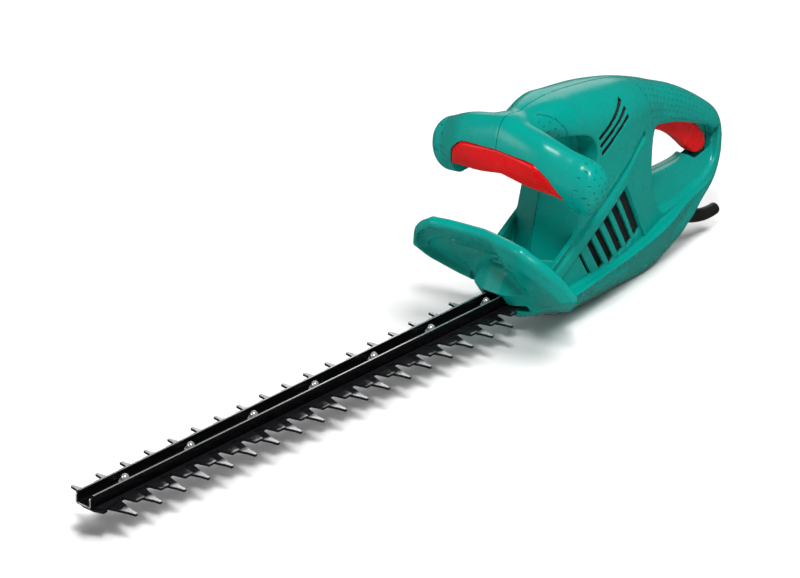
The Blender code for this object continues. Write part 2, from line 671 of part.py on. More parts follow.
def gear_outline(teeth, phase):
    """Plain trapezoid teeth about the origin."""
    pitch = MODULE * teeth / 2
    outline = []
    for k in range(teeth):
        for turn, radius in ((-0.30, pitch - 1.25 * MODULE), (-0.13, pitch + 0.85 * MODULE),
                             (0.13, pitch + 0.85 * MODULE), (0.30, pitch - 1.25 * MODULE)):
            a = 2 * math.pi * (k + phase + turn) / teeth
            outline.append((radius * math.cos(a), radius * math.sin(a)))
    return outline


def gear(name, s, teeth, h, bore, phase, look):
    outline = [(s + x, y) for x, y in gear_outline(teeth, phase)]
    wheel = plate(name, outline, h, look)
    return cut(wheel, disc("bore", s, (h[0] - 1, h[1] + 1), bore, sides=16))


def build_drive():
    steel, brass = (STEEL, 0.3, 1.0), (COPPER, 0.4, 1.0)
    pinion = gear("pinion", MOTOR_S, PINION_TEETH, (GEAR_H[0], GEAR_H[1] + 2), 3.3, 0.5, steel)
    drive = gear("drive_gear", GEAR_S, GEAR_TEETH, GEAR_H, 4.3, 0.0, (GREY, 0.5, 0.0))
    cut(drive, disc("crank_hole", GEAR_S - THROW, (GEAR_H[0] - 1, GEAR_H[1] + 1), 2.8, sides=12))
    turned("crank_pin", [(0, 46), (2.5, 46), (2.5, 39.6), (CRANK_R, 39.6), (CRANK_R, 33), (0, 33)],
           GEAR_S - THROW, look=steel, sides=12)
    turned("gear_shaft", [(0, 57.5), (4, 57.5), (4, 38.5), (0, 38.5)], GEAR_S, look=steel, sides=12)
    ring_of("gear_bush", GEAR_S, (51.6, 56.4), 4.3, 8.0, brass)
    gear_plate = plate("gear_plate", [(516, -18), (528, -27.5), (592, -25), (598, -18), (598, 18),
                                      (592, 25), (528, 27.5), (516, 18)], (52, 56),
                       (ALUMINIUM, 0.45, 1.0))
    for s in (GEAR_S, MOTOR_S):
        cut(gear_plate, disc("bearing_seat", s, (50, 58), 8.3, sides=16))
    plate("base_plate", [(470, -12), (500, -15), (519, -15), (525, -26), (600, -24), (600, 24),
                         (525, 26), (519, 15), (500, 15), (470, 12)], (28, 31.6),
          (STEEL, 0.45, 1.0))
    build_motor()


def ring_of(name, s, h, inner, outer, look, sides=16):
    """A flat ring or bush about an upright axis."""
    bush = disc(name, s, h, outer, look, sides=sides)
    return cut(bush, disc("bore", s, (h[0] - 1, h[1] + 1), inner, sides=sides))


def build_motor():
    steel, copper = (STEEL, 0.35, 1.0), (COPPER, 0.35, 1.0)
    s = MOTOR_S
    turned("motor_shaft", [(0, 149), (3, 149), (3, 39.5), (0, 39.5)], s, look=steel, sides=12)
    ring_of("lower_bearing", s, (51.6, 56.4), 3.3, 8.0, steel)
    ring_of("upper_bearing", s, (141, 147), 3.3, 9.0, steel)
    fan = ring_of("cooling_fan", s, (60, 63), 3.3, 23.0, ((0.05, 0.05, 0.05), 0.5, 0.0), 18)
    blades = [box(f"fan_blade_{i}", (s + 10, s + 22.5), (-0.8, 0.8), (62.5, 69)) for i in range(8)]
    for i, blade in enumerate(blades):
        centre = at(s, 0, 0)
        turn = Matrix.Rotation(math.tau * i / 8, 4, "Z")
        blade.data.transform(Matrix.Translation(centre) @ turn @ Matrix.Translation(-centre))
        join(fan, blade)
    ring_of("armature_core", s, (76, 112), 3.3, 16.5, ((0.2, 0.2, 0.21), 0.5, 0.8), 16)
    ring_of("commutator", s, (120, 132), 3.3, 9.5, copper, 16)
    core = box("field_core", (s - 26, s + 26), (-25, 25), (77, 111), ((0.2, 0.2, 0.21), 0.5, 0.8))
    cut(core, disc("core_bore", s, (70, 120), 17.3, sides=20))
    for sign, side in ((-1, "left"), (1, "right")):
        coil = box(f"field_coil_{side}", (s - 17, s + 17), sorted((sign * 18, sign * 24.5)),
                   (111.4, 116.4), copper)
        holder = box(f"brush_holder_{side}", (s - 5, s + 5), sorted((sign * 14, sign * 25)),
                     (121.5, 131), ((0.55, 0.42, 0.16), 0.4, 1.0))
        cut(holder, box("brush_way", (s - 3.3, s + 3.3), sorted((sign * 13, sign * 26)),
                        (123.2, 129.3)))
        box(f"carbon_brush_{side}", (s - 3, s + 3), sorted((sign * 9.9, sign * 21)),
            (123.5, 129), ((0.04, 0.04, 0.04), 0.7, 0.0))


# Handles ---------------------------------------------------------------------------------

def build_controls():
    trigger = prism("trigger", TRIGGER, (-TRIGGER_HALF, TRIGGER_HALF), (RED, 0.35, 0.0))
    cut(trigger, cross_pin("pivot_bore", *TRIGGER_PIVOT, 2.3, (-20, 20)))
    cross_pin("trigger_pin", *TRIGGER_PIVOT, 2.0, (-12.7, 12.7), (STEEL, 0.3, 1.0))
    loft("front_switch_bar", [bar_ring(y) for y in both_ways(BAR_STATIONS)], (RED, 0.35, 0.0))
    black, grey = (DARK, 0.5, 0.0), (GREY, 0.5, 0.0)
    rear = box("rear_switch", (662, 681), (-7, 7), (152.5, 159.5), black)
    join(rear, disc("plunger", 668, (146.5, 154), 1.6, sides=10))
    front = box("front_switch", (521, 541), (-8, 8), (178, 188), black)
    join(front, disc("plunger", 526, (175.6, 179), 1.6, sides=10))
    box("capacitor", (600, 622), (-8, 8), (150, 163), grey)


def build_sleeve():
    sleeve = sleeve_tube("cord_sleeve", 6.8, 5.2, SLEEVE, (DARK, 0.6, 0.0))
    cut(sleeve, sleeve_tube("cord_way", 3.7, 3.7, [(694, 39.2), *SLEEVE[1:-1], (768, 26.1)]))


def build_screws():
    for i, (s, h) in enumerate(SCREW_PLACES):
        seat = screw_seat(s, h)
        lay = Matrix.Rotation(-math.pi / 2, 4, "X")
        top = seat + 2.6
        turned(f"housing_screw_{i + 1}",
               [(0, top), (SCREW_HEAD_R, top), (SCREW_HEAD_R, seat + GAP), (SCREW_R, seat + GAP),
                (SCREW_R, 4 - seat), (0, 4 - seat)],
               s, 0.0, (STEEL, 0.35, 1.0), 8, Matrix.Translation((0, 0, h * MM)) @ lay)


build_housings()
build_guard()
build_blades()
build_rail()
build_drive()
build_controls()
build_sleeve()
build_screws()
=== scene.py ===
"""Looks of the electric hedge trimmer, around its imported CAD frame.

Shapes are given in millimetres as (s, y, h): s runs from the tip of the blade rail towards
the rear handle, y to the tool's right and h up. A moulded piece is a field: a function that
is negative inside the piece and about the distance to its surface, in millimetres. The two
housing shells are mirror images, so one field describes both, for y >= 0.
"""
import json
import math

import bmesh
import bpy
import numpy as np
from mathutils import Matrix, Vector

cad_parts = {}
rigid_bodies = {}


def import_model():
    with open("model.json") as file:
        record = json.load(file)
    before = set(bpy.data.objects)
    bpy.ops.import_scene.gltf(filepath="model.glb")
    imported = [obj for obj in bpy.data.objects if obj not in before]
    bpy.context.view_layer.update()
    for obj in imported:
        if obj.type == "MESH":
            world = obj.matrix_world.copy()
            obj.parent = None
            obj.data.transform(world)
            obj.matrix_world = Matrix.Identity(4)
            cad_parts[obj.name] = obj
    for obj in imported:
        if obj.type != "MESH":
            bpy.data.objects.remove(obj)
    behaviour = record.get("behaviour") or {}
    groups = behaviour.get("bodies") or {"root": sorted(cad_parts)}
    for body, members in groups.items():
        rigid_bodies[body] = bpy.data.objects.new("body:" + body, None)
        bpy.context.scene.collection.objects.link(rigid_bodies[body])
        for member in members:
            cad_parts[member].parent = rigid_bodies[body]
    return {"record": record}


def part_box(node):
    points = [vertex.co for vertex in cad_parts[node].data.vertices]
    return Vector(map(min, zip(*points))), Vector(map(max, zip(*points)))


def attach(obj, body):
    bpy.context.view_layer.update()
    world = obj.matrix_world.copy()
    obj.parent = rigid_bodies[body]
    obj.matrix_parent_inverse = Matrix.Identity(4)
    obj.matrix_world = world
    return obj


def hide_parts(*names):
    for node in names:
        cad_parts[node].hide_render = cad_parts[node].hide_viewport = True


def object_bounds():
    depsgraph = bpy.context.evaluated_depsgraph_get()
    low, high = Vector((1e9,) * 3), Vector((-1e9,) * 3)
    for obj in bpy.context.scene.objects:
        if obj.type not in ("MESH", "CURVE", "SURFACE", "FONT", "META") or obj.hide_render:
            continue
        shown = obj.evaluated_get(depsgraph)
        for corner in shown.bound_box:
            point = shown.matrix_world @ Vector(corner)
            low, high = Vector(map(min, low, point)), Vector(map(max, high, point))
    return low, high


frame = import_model()
cad_box = [list(corner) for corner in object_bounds()]

MM = 0.001
COMB_UNDERSIDE = 32.0                      # h of the lower blade's underside
TIP_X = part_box("blade_rail")[0][0]
BASE_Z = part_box("comb_blade")[0][2] - COMB_UNDERSIDE * MM
PARTING = 0.15                             # half of the gap between the two shells
STEP, FINE_STEP, FINEST_STEP = 1.0, 0.9, 0.8   # grids of the moulded pieces
SHARP_ANGLE = 38.0                         # edges of the moulded pieces are sharp above this


def at(s, y, h):
    """A point of the design in the frame, in metres."""
    return Vector((TIP_X + s * MM, y * MM, BASE_Z + h * MM))


# Curves and fields ------------------------------------------------------------------------

def track(*pairs):
    """A smooth curve through (station, value) pairs, without overshoot."""
    xs, ys = np.array(pairs, float).T
    slope = np.diff(ys) / np.diff(xs)
    tangent = np.zeros(len(xs))
    tangent[0], tangent[-1] = slope[0], slope[-1]
    same = slope[:-1] * slope[1:] > 0
    tangent[1:-1][same] = 2 * (slope[:-1] * slope[1:])[same] / (slope[:-1] + slope[1:])[same]

    def value(x):
        x = np.clip(x, xs[0], xs[-1])
        i = np.clip(np.searchsorted(xs, x, side="right") - 1, 0, len(xs) - 2)
        w = xs[i + 1] - xs[i]
        t = (x - xs[i]) / w
        return ((2 * t**3 - 3 * t**2 + 1) * ys[i] + (t**3 - 2 * t**2 + t) * w * tangent[i]
                + (3 * t**2 - 2 * t**3) * ys[i + 1] + (t**3 - t**2) * w * tangent[i + 1])
    return value


def spline(points, steps=4):
    """A closed smooth curve through the points."""
    p = np.array(points, float)
    before, after, later = np.roll(p, 1, 0), np.roll(p, -1, 0), np.roll(p, -2, 0)
    curve = []
    for t in np.arange(steps) / steps:
        curve.append(0.5 * (2 * p + (after - before) * t
                            + (2 * before - 5 * p + 4 * after - later) * t**2
                            + (3 * p - before - 3 * after + later) * t**3))
    return np.stack(curve, 1).reshape(-1, 2)


def outline(points, cell=0.5, margin=45.0):
    """The signed distance to a closed outline in side view, as a function of (s, h)."""
    p = np.array(points, float)
    low = p.min(0) - margin
    count = np.ceil((p.max(0) + margin - low) / cell).astype(int) + 1
    gs, gh = np.meshgrid(*(low[k] + np.arange(count[k]) * cell for k in (0, 1)), indexing="ij")
    nearest, inside = np.full(gs.shape, 1e9), np.zeros(gs.shape, bool)
    for (s0, h0), (s1, h1) in zip(p, np.roll(p, -1, 0)):
        ds, dh = s1 - s0, h1 - h0
        t = np.clip(((gs - s0) * ds + (gh - h0) * dh) / (ds * ds + dh * dh + 1e-12), 0, 1)
        nearest = np.minimum(nearest, (gs - s0 - t * ds) ** 2 + (gh - h0 - t * dh) ** 2)
        if dh:
            crosses = (h0 > gh) != (h1 > gh)
            inside ^= crosses & (gs < s0 + (gh - h0) * ds / dh)
    table = np.sqrt(nearest) * np.where(inside, -1, 1)

    def distance(s, h):
        s, h = np.broadcast_arrays(s, h)
        u = np.clip((s - low[0]) / cell, 0, count[0] - 1.001)
        v = np.clip((h - low[1]) / cell, 0, count[1] - 1.001)
        i, j = u.astype(int), v.astype(int)
        u, v = u - i, v - j
        return ((table[i, j] * (1 - u) + table[i + 1, j] * u) * (1 - v)
                + (table[i, j + 1] * (1 - u) + table[i + 1, j + 1] * u) * v)
    return distance


def both(a, b, r=0.0):
    """What is inside both fields, with the edge between them rounded to radius r."""
    if np.isscalar(r) and r == 0:
        return np.maximum(a, b)
    return np.minimum(np.maximum(a, b), -r) + np.hypot(np.maximum(a + r, 0), np.maximum(b + r, 0))


def either(a, b, r=0.0):
    """What is inside one of the fields, with a fillet of radius r where they meet."""
    return -both(-a, -b, r)


def without(a, b, r=0.0):
    """The first field with the second taken out of it."""
    return both(a, -b, r)


def ramp(x, low, high):
    """Rises smoothly from 0 at low to 1 at high."""
    t = np.clip((x - low) / (high - low), 0, 1)
    return t * t * (3 - 2 * t)


# From field to mesh -----------------------------------------------------------------------

SLOPE_REACH = 0.12                         # distance over which a field's slope is measured
FLAT_SHARE = 0.1                           # directions weaker than this share count as flat


def corner_solve(total, rhs):
    """The point that best fits the surface planes of each cell, from its mean point."""
    values, vectors = np.linalg.eigh(total)
    keep = values > FLAT_SHARE * values[:, -1:]
    inverse = np.where(keep, 1 / np.where(keep, values, 1), 0)
    return np.einsum("nij,nj,nkj,nk->ni", vectors, inverse, vectors, rhs)


def contour(field, low, high, step):
    """Vertices and quads of the surface of a field, with its edges kept sharp.

    Each cell of a grid that the surface crosses gets one vertex, where the planes at its
    crossed edges meet."""
    low = np.array(low, float)
    count = np.ceil((np.array(high) - low) / step).astype(int) + 1
    axes = [low[k] + np.arange(count[k]) * step for k in range(3)]
    value = field(axes[0][:, None, None], axes[1][None, :, None], axes[2][None, None, :])
    inside = value < 0

    places, starts, directions, flips = [], [], [], []
    for axis in range(3):
        near = [slice(None)] * 3
        far = [slice(None)] * 3
        near[axis], far[axis] = slice(None, -1), slice(1, None)
        index = np.argwhere(inside[tuple(near)] != inside[tuple(far)])
        index = index[(index > 0).all(1) & (index < count - 1).all(1)]
        other = index.copy()
        other[:, axis] += 1
        v0, v1 = value[tuple(index.T)], value[tuple(other.T)]
        t = v0 / (v0 - v1)
        point = low + index * step
        unit = np.zeros(3)
        unit[axis] = step
        for _ in range(2):
            v = field(*(point + t[:, None] * unit).T)
            t = np.clip(t - np.clip(v / (v1 - v0), -0.3, 0.3), 0.01, 0.99)
        places.append(point + t[:, None] * unit)
        starts.append(index)
        directions.append(np.full(len(index), axis))
        flips.append(v0 < 0)
    place, start = np.concatenate(places), np.concatenate(starts)
    axis, flip = np.concatenate(directions), np.concatenate(flips)

    slope = np.stack([field(*(place + d).T) - field(*(place - d).T)
                      for d in np.eye(3) * SLOPE_REACH], 1)
    normal = slope / np.maximum(np.linalg.norm(slope, axis=1, keepdims=True), 1e-9)

    cells = []
    for a, b in ((1, 1), (0, 1), (0, 0), (1, 0)):
        shift = np.zeros((len(start), 3), int)
        shift[np.arange(len(start)), (axis + 1) % 3] = a
        shift[np.arange(len(start)), (axis + 2) % 3] = b
        cells.append(start - shift)
    cells = np.stack(cells, 1)
    key = (cells[..., 0] * count[1] + cells[..., 1]) * count[2] + cells[..., 2]
    used, number = np.unique(key, return_inverse=True)
    number = number.reshape(-1, 4)

    flat = number.reshape(-1)

    def gather(x):
        return np.bincount(flat, np.repeat(x, 4), len(used))

    hits = gather(np.ones(len(place)))
    mean = np.stack([gather(place[:, k]) for k in range(3)], 1) / hits[:, None]
    total = np.zeros((len(used), 3, 3))
    for i in range(3):
        for j in range(i, 3):
            total[:, i, j] = total[:, j, i] = gather(normal[:, i] * normal[:, j])
    level = (normal * place).sum(1)
    rhs = np.stack([gather(normal[:, k] * level) for k in range(3)], 1)
    rhs -= np.einsum("nij,nj->ni", total, mean)
    middle = low + step * (0.5 + np.stack(np.unravel_index(used, tuple(count)), 1))
    vertex = mean + corner_solve(total, rhs)
    vertex = np.clip(vertex, middle - 0.5 * step, middle + 0.5 * step)
    quads = np.where(flip[:, None], number, number[:, ::-1])
    return relaxed(vertex, quads), quads


def relaxed(vertex, quads, rounds=2, weight=0.4):
    """The vertices moved part of the way to the middle of their neighbours."""
    i, j = quads.ravel(), np.roll(quads, -1, 1).ravel()
    links = np.bincount(i, minlength=len(vertex)) + np.bincount(j, minlength=len(vertex))
    for _ in range(rounds):
        mean = np.stack([np.bincount(i, vertex[j, k], len(vertex))
                         + np.bincount(j, vertex[i, k], len(vertex)) for k in range(3)], 1)
        vertex = vertex + weight * (mean / links[:, None] - vertex)
    return vertex


def moulded(name, field, low, high, step=STEP, mirror=False, dark=None, grip=None):
    """A mesh object from a field, on the right side, or mirrored to the left.

    dark says which places take the second material; grip gives the place in the dimple
    pattern and the distance to the nearest scribed line."""
    vertex, quads = contour(field, low, high, step)
    place = vertex * (1, -1, 1) if mirror else vertex
    mesh = bpy.data.meshes.new(name)
    mesh.from_pydata((place * MM + (TIP_X, 0, BASE_Z)).tolist(), [],
                     (quads[:, ::-1] if mirror else quads).tolist())
    if dark:
        index = dark(*vertex[quads].mean(1).T).astype(np.int32)
        mesh.attributes.new("material_index", "INT", "FACE")
        mesh.attributes["material_index"].data.foreach_set("value", index)
    if grip:
        dots, line = grip(*vertex.T)
        for key, kind, part, values in (("dots", "FLOAT_VECTOR", "vector", dots.ravel()),
                                        ("line", "FLOAT", "value", line)):
            mesh.attributes.new(key, kind, "POINT").data.foreach_set(part, values)
    mesh.shade_smooth()
    mesh.set_sharp_from_angle(angle=math.radians(SHARP_ANGLE))
    piece = bpy.data.objects.new(name, mesh)
    bpy.context.scene.collection.objects.link(piece)
    return piece


# Body -------------------------------------------------------------------------------------

GAP = 0.3                                  # between the guard and the shells
TAIL_END = 757.0
RAIL_FOOT = (486.0, 62.0)                  # upper edge of the side groove
RAIL_TOP = (612.0, 143.5)
RAIL_ANGLE = math.atan2(RAIL_TOP[1] - RAIL_FOOT[1], RAIL_TOP[0] - RAIL_FOOT[0])


def rail_uv(s, h):
    """Distance along the side rail from its foot, and down square to it."""
    c, d = math.cos(RAIL_ANGLE), math.sin(RAIL_ANGLE)
    ds, dh = s - RAIL_FOOT[0], h - RAIL_FOOT[1]
    return ds * c + dh * d, ds * d - dh * c


# Half widths and heights along the body: the trunk, the wall under the rail, the rounding of
# the crest, and the hull with its keel.
side_y = track((462, 19), (485, 20.5), (500, 24), (513, 29), (527, 33.5), (560, 33.5), (590, 31.5),
               (612, 28), (640, 22), (660, 18.3), (700, 17), (735, 15.5), (757, 12))
wall_y = track((455, 31), (478, 33.5), (560, 33.5), (590, 31.5), (612, 28), (640, 22), (660, 18.3))
top_round = track((462, 16), (500, 20), (540, 30), (590, 30), (640, 21), (680, 16.8), (735, 15),
                  (757, 12))
hull_y = track((455, 22), (470, 30), (486, 38), (500, 43), (513, 44.5), (530, 43), (548, 41),
               (602, 35), (657, 28.5), (694, 21.5), (729, 16.5), (746, 12.5), (757, 8))
hull_h = track((455, 37), (495, 39), (513, 41), (548, 43), (602, 45.5), (657, 51.5), (694, 60),
               (729, 66), (746, 80), (757, 100))
keel = track((455, 27), (468, 25), (490, 20), (505, 16), (525, 9.5), (545, 5.5), (640, 5.5),
             (668, 8), (690, 13.5), (706, 19), (718, 27), (727, 38), (738, 50), (748, 63),
             (757, 84))
flat_half = track((455, 10), (640, 9.5), (700, 5), (757, 2))

# The crest of the crown and the rear grip, and where the grip's dimples start.
ridge = track((474, 190), (510, 199.5), (531, 200), (583, 195), (609, 190), (640, 180.5),
              (687, 162), (709, 150.5), (731, 137), (746, 126), (757, 107))
GRIP_START, GRIP_LEAN = 634, -0.35

# Outlines in side view.
TRUNK = [(507, 60), (507, 79), (512, 102), (517.6, 126), (516, 140), (508, 155), (495, 166),
         (480, 173), (471, 180), (471, 187), (479, 192), (492, 196.5), (510, 199.5), (531, 200),
         (557, 198), (583, 195), (609, 190), (640, 180.5), (662, 172), (687, 162), (709, 150.5),
         (731, 137), (746, 126), (754, 114.5), (757.5, 102), (757.5, 84), (752, 68), (743, 56),
         (728, 44), (712, 30), (680, 18), (600, 14), (520, 20)]
HOLE = [(645.5, 99), (655, 90.5), (670, 89.5), (700, 90), (712, 93), (724, 98), (735, 104),
        (736, 110), (728, 115), (714, 121), (700, 126), (686, 131), (668, 135), (652, 137),
        (645, 132)]
RECESS = [(640, 88), (652, 71), (661, 60), (676, 60.5), (700, 65), (722, 71), (736, 81),
          (742, 96), (742, 112), (728, 104), (700, 98), (668, 97), (648, 96)]
POCKET = [(478, 150), (486, 130), (506, 124), (530, 126), (545, 138), (548, 152), (541, 165),
          (526, 172), (504, 173), (486, 168)]
TRIGGER_ROOM = [(649, 129), (690, 106), (724, 84), (741, 86), (744, 100), (740, 111), (729, 123),
                (714, 132), (700, 140), (685, 146), (672, 150), (660, 153), (649, 151)]
trunk_edge = outline(spline(TRUNK))
hole_edge = outline(spline(HOLE))
recess_edge = outline(spline(RECESS))
pocket_edge = outline(spline(POCKET))
trigger_room = outline(TRIGGER_ROOM, margin=12.0)

# Slots of the side grille: place along the rail, width and lower end.
VENTS = [(41.4, 3.0, 47.0), (55.3, 6.6, 54.5), (67.5, 6.8, 61.0), (80.6, 7.4, 66.0),
         (93.8, 8.4, 71.5), (107.6, 10.0, 75.5)]
# Past a depth under the skin, the walls of the grille and slots are painted black as shade.
VENT_TOP, VENT_FLOOR, VENT_SHADE_DEPTH = 19.5, 26.5, 3.7
SLOT_ANGLE, SLOT_LENGTH, SLOT_WIDTH = math.radians(31), 43.0, 4.2
SLOT_FLOOR, SLOT_SHADE_DEPTH = 18.0, 1.1

# Places along and down the rail: its groove and the panel under it.
RAIL_START, GROOVE_END, PANEL_END = -4.0, 158.0, 113.5
GROOVE_MIDDLE, GROOVE_HALF, GROOVE_DEPTH = 4.9, 3.7, 2.6
PANEL_TOP, PANEL_DEPTH = 17.8, 1.8

POCKET_FLOOR = 11.0
COLLAR_H, NECK_SLOPE = 127.5, 1.72
SLEEVE_ROUTE = [(700, 37.5), (711, 35), (721, 31.8), (731, 28.6), (740, 26.3), (749, 25),
                (757, 24.8), (764, 25.5)]
SLEEVE_ROOM = 7.3

# The plane where the guard meets the shells: its upper end and how fast it runs back.
MEETING_TOP, MEETING_SLOPE = (450.0, 108.0), 0.829


def slot_pq(s, h, k):
    """Distance along and across one of the three narrow slots above the rail."""
    ds, dh = s - (549.5 + 2.2 * k), h - (161.5 - 7.0 * k)
    c, d = math.cos(SLOT_ANGLE), math.sin(SLOT_ANGLE)
    return ds * c + dh * d, dh * c - ds * d


def guard_behind(s, h):
    """How far a place lies behind the plane where the guard meets the shells."""
    return s - MEETING_TOP[0] - MEETING_SLOPE * (MEETING_TOP[1] - h)


def hull_side(s, h):
    """Half width of the hull at a height, from the flat of the keel out to its edge."""
    rise = np.clip((h - keel(s)) / (hull_h(s) - keel(s)), 0, 1.2)
    return flat_half(s) + (hull_y(s) - flat_half(s)) * rise ** 0.72


def shell_field(s, y, h):
    """Both housing shells as one solid, without the front handle."""
    a = np.abs(y)
    side = a - side_y(s)
    trunk = both(trunk_edge(s, h), side, top_round(s))
    # the neck is a wedge that leans back, with a collar at its top
    collar = (2.6 * np.exp(-((h - COLLAR_H) / 2.0) ** 2)
              - 2.4 * np.exp(-((h - COLLAR_H - 5.5) / 3.0) ** 2))
    wedge = a - NECK_SLOPE * (s - (507 + 0.234 * (h - 79)) + collar)
    wedge = wedge / math.hypot(1, NECK_SLOPE)
    wedge = np.where(h > 138, wedge - (h - 138) * 1.5, wedge)
    trunk = both(trunk, wedge, 0.8)

    u, v = rail_uv(s, h)
    cradle = both(both(-v, a - wall_y(s), 1.2), s - 600.0)
    cradle = both(cradle, 30.0 - h)
    hull = both((a - hull_side(s, h)) * 0.8, keel(s) - h, 1.0)
    hull = both(hull, h - hull_h(s) - np.maximum(0, 34 - a) * 0.05, 2.2)
    valley = both(a - 28.5, 60.0 + (s - 490) * 0.1 - h, 4.0)
    valley = both(valley, s - 540.0)
    cradle = without(either(cradle, hull, 1.0), valley, 1.0)
    body = either(trunk, cradle, 1.5)
    body = both(body, s - TAIL_END)
    body = both(body, GAP - guard_behind(s, h))

    # the rear grip rolls into the handle hole, and the lower limb is a thinner web
    body = both(body, -hole_edge(s, h), np.clip(side_y(s) - 10.5, 4.5, 10.5))
    web = 7.0 + 6.0 * ramp(92.0 - h + (s - 700) * 0.25, 0, 34)
    body = without(body, both(recess_edge(s, h), web - a, 3.0), 2.0)
    body = without(body, both(pocket_edge(s, h), POCKET_FLOOR - a, 3.0), 1.4)

    # groove, rail and grille on the side
    along = both(RAIL_START - u, u - GROOVE_END)
    groove = both(np.abs(v - GROOVE_MIDDLE) - GROOVE_HALF, wall_y(s) - GROOVE_DEPTH - a, 1.5)
    body = without(body, both(groove, along, 1.0), 0.8)
    panel = both(PANEL_TOP - v, wall_y(s) - PANEL_DEPTH - a, 0.5)
    panel = both(panel, hull_h(s) + 1.0 - h, 1.0)
    panel = both(panel, both(RAIL_START - u, u - PANEL_END))
    body = without(body, panel, 0.6)
    grille = np.full(np.broadcast(s, h).shape, 1e3)
    for place, width, end in VENTS:
        slot = both(np.abs(u - place) - width / 2, both(VENT_TOP - v, v - end), 0.6)
        grille = np.minimum(grille, slot)
    body = without(body, both(grille, np.minimum(VENT_FLOOR, wall_y(s) - 5.0) - a), 0.4)
    slots = np.full(np.broadcast(s, h).shape, 1e3)
    for k in range(3):
        p, q = slot_pq(s, h, k)
        slot = both(np.abs(q) - SLOT_WIDTH / 2, both(-p, p - SLOT_LENGTH), 0.4)
        slots = np.minimum(slots, slot)
    body = without(body, both(slots, SLOT_FLOOR - a), 0.4)

    # rooms for the trigger and the cord sleeve
    body = without(body, both(trigger_room(s, h), a - 7.2), 0.6)
    return without(body, sleeve_field(s, y, h, SLEEVE_ROOM), 0.5)


def sleeve_field(s, y, h, radius):
    """Distance to the cord sleeve's centre line, less a radius."""
    nearest = np.full(np.broadcast(s, y, h).shape, 1e9)
    route = [(694, 39.2)] + SLEEVE_ROUTE[:5]
    for (s0, h0), (s1, h1) in zip(route, route[1:]):
        ds, dh = s1 - s0, h1 - h0
        t = np.clip(((s - s0) * ds + (h - h0) * dh) / (ds * ds + dh * dh), 0, 1)
        nearest = np.minimum(nearest, (s - s0 - t * ds) ** 2 + (h - h0 - t * dh) ** 2 + y**2)
    return np.sqrt(nearest) - radius


# Front handle, by the distance from the middle: the middle of its section, the half depth and
# height, the lean of its lower part, and the upper and lower edges of the switch bar.
bow_s = track((0, 470.5), (38, 471.5), (52, 475), (61, 480), (70, 486), (84, 489))
bow_h = track((0, 170.5), (22, 167), (38, 162.5), (52, 156), (61, 151.5), (70, 149), (84, 150.5))
bow_depth = track((0, 12.5), (40, 12), (56, 11), (70, 12.2), (84, 12))
bow_height = track((0, 26.5), (22, 25), (38, 25.5), (52, 26), (61, 25.5), (70, 23), (84, 14.5))
bow_lean = track((0, 0.2), (30, 0.3), (52, 0.48), (62, 0.45), (72, 0.15), (84, 0.0))
bar_top_s = track((0, 461), (34, 459), (48, 464), (54, 471), (57, 476))
bar_top_h = track((0, 171), (34, 167), (48, 158), (54, 147), (57, 141))
bar_low_s = track((0, 466), (27, 470.5), (54, 477), (57, 478.5))
bar_low_h = track((0, 148), (27, 142), (54, 138.5), (57, 138))
BAR_END, BAR_DEPTH, BAR_TRAVEL, BAR_ROOM = 56.5, 10.0, 4.0, 0.7
BOW_POWER, BOW_END = 2.6, 84.5             # how square the section is, and its last station


def bar_pq(s, a, h):
    """Distance down the front switch bar, back from its front, and the bar's height there."""
    top_s, top_h, low_s, low_h = (f(a) for f in (bar_top_s, bar_top_h, bar_low_s, bar_low_h))
    long = np.hypot(low_s - top_s, low_h - top_h)
    cs, ch = (low_s - top_s) / long, (low_h - top_h) / long
    return (s - top_s) * cs + (h - top_h) * ch, (h - top_h) * cs - (s - top_s) * ch, long


def bow_field(s, y, h):
    """The front handle: a bar across the tool, with a hollow under each end."""
    a = np.abs(y)
    ds, dh = s - bow_s(a), h - bow_h(a)
    rise = 0.5 * (dh + np.sqrt(dh**2 + 16.0))         # height above the middle, never negative
    ds = ds + (dh - rise) * bow_lean(a) - rise * 0.12
    depth, height = bow_depth(a), bow_height(a)
    across = np.abs(ds / depth) ** BOW_POWER + np.abs(dh / height) ** BOW_POWER
    across = across ** (1 / BOW_POWER)
    ring = (across - 1) * depth
    bow = both(ring, a - BOW_END, 10.0)
    hollow = both(both(ring + 3.5, np.abs(a - 68.0) - 9.0, 2.0), dh + 4.0)
    return without(bow, hollow, 0.8)


def housing(s, y, h):
    """One housing shell, with its half of the front handle and the room for the switch bar."""
    body = either(shell_field(s, y, h), bow_field(s, y, h), 7.0)
    p, q, _ = bar_pq(s, np.abs(y), h)
    room = both(both(q - BAR_DEPTH - BAR_TRAVEL - BAR_ROOM, -BAR_ROOM - p),
                np.abs(y) - BAR_END - 0.8)
    room = both(room, 100.0 - h)
    body = without(body, both(room, s - 492.0), 0.9)
    return both(body, PARTING - y)


def painted_vent_shade(s, y, h):
    """Places inside the grille and the slots where the shell's walls take black plastic as painted
    shade.
    """
    u, v = rail_uv(s, h)
    inside = np.zeros(s.shape, bool)
    for place, width, end in VENTS:
        near = (np.abs(u - place) < width / 2 + 0.2) & (v > VENT_TOP - 0.3) & (v < end + 0.3)
        inside |= near & (y < wall_y(s) - VENT_SHADE_DEPTH)
    for k in range(3):
        p, q = slot_pq(s, h, k)
        near = (np.abs(q) < SLOT_WIDTH / 2 + 0.3) & (p > -0.4) & (p < SLOT_LENGTH + 0.4)
        over = np.clip(1 - (ridge(s) - h) / top_round(s), 0, 0.95)
        skin = side_y(s) - top_round(s) * (1 - np.sqrt(1 - over**2))
        inside |= near & (y < skin - SLOT_SHADE_DEPTH) & (y > SLOT_FLOOR - 1)
    return inside


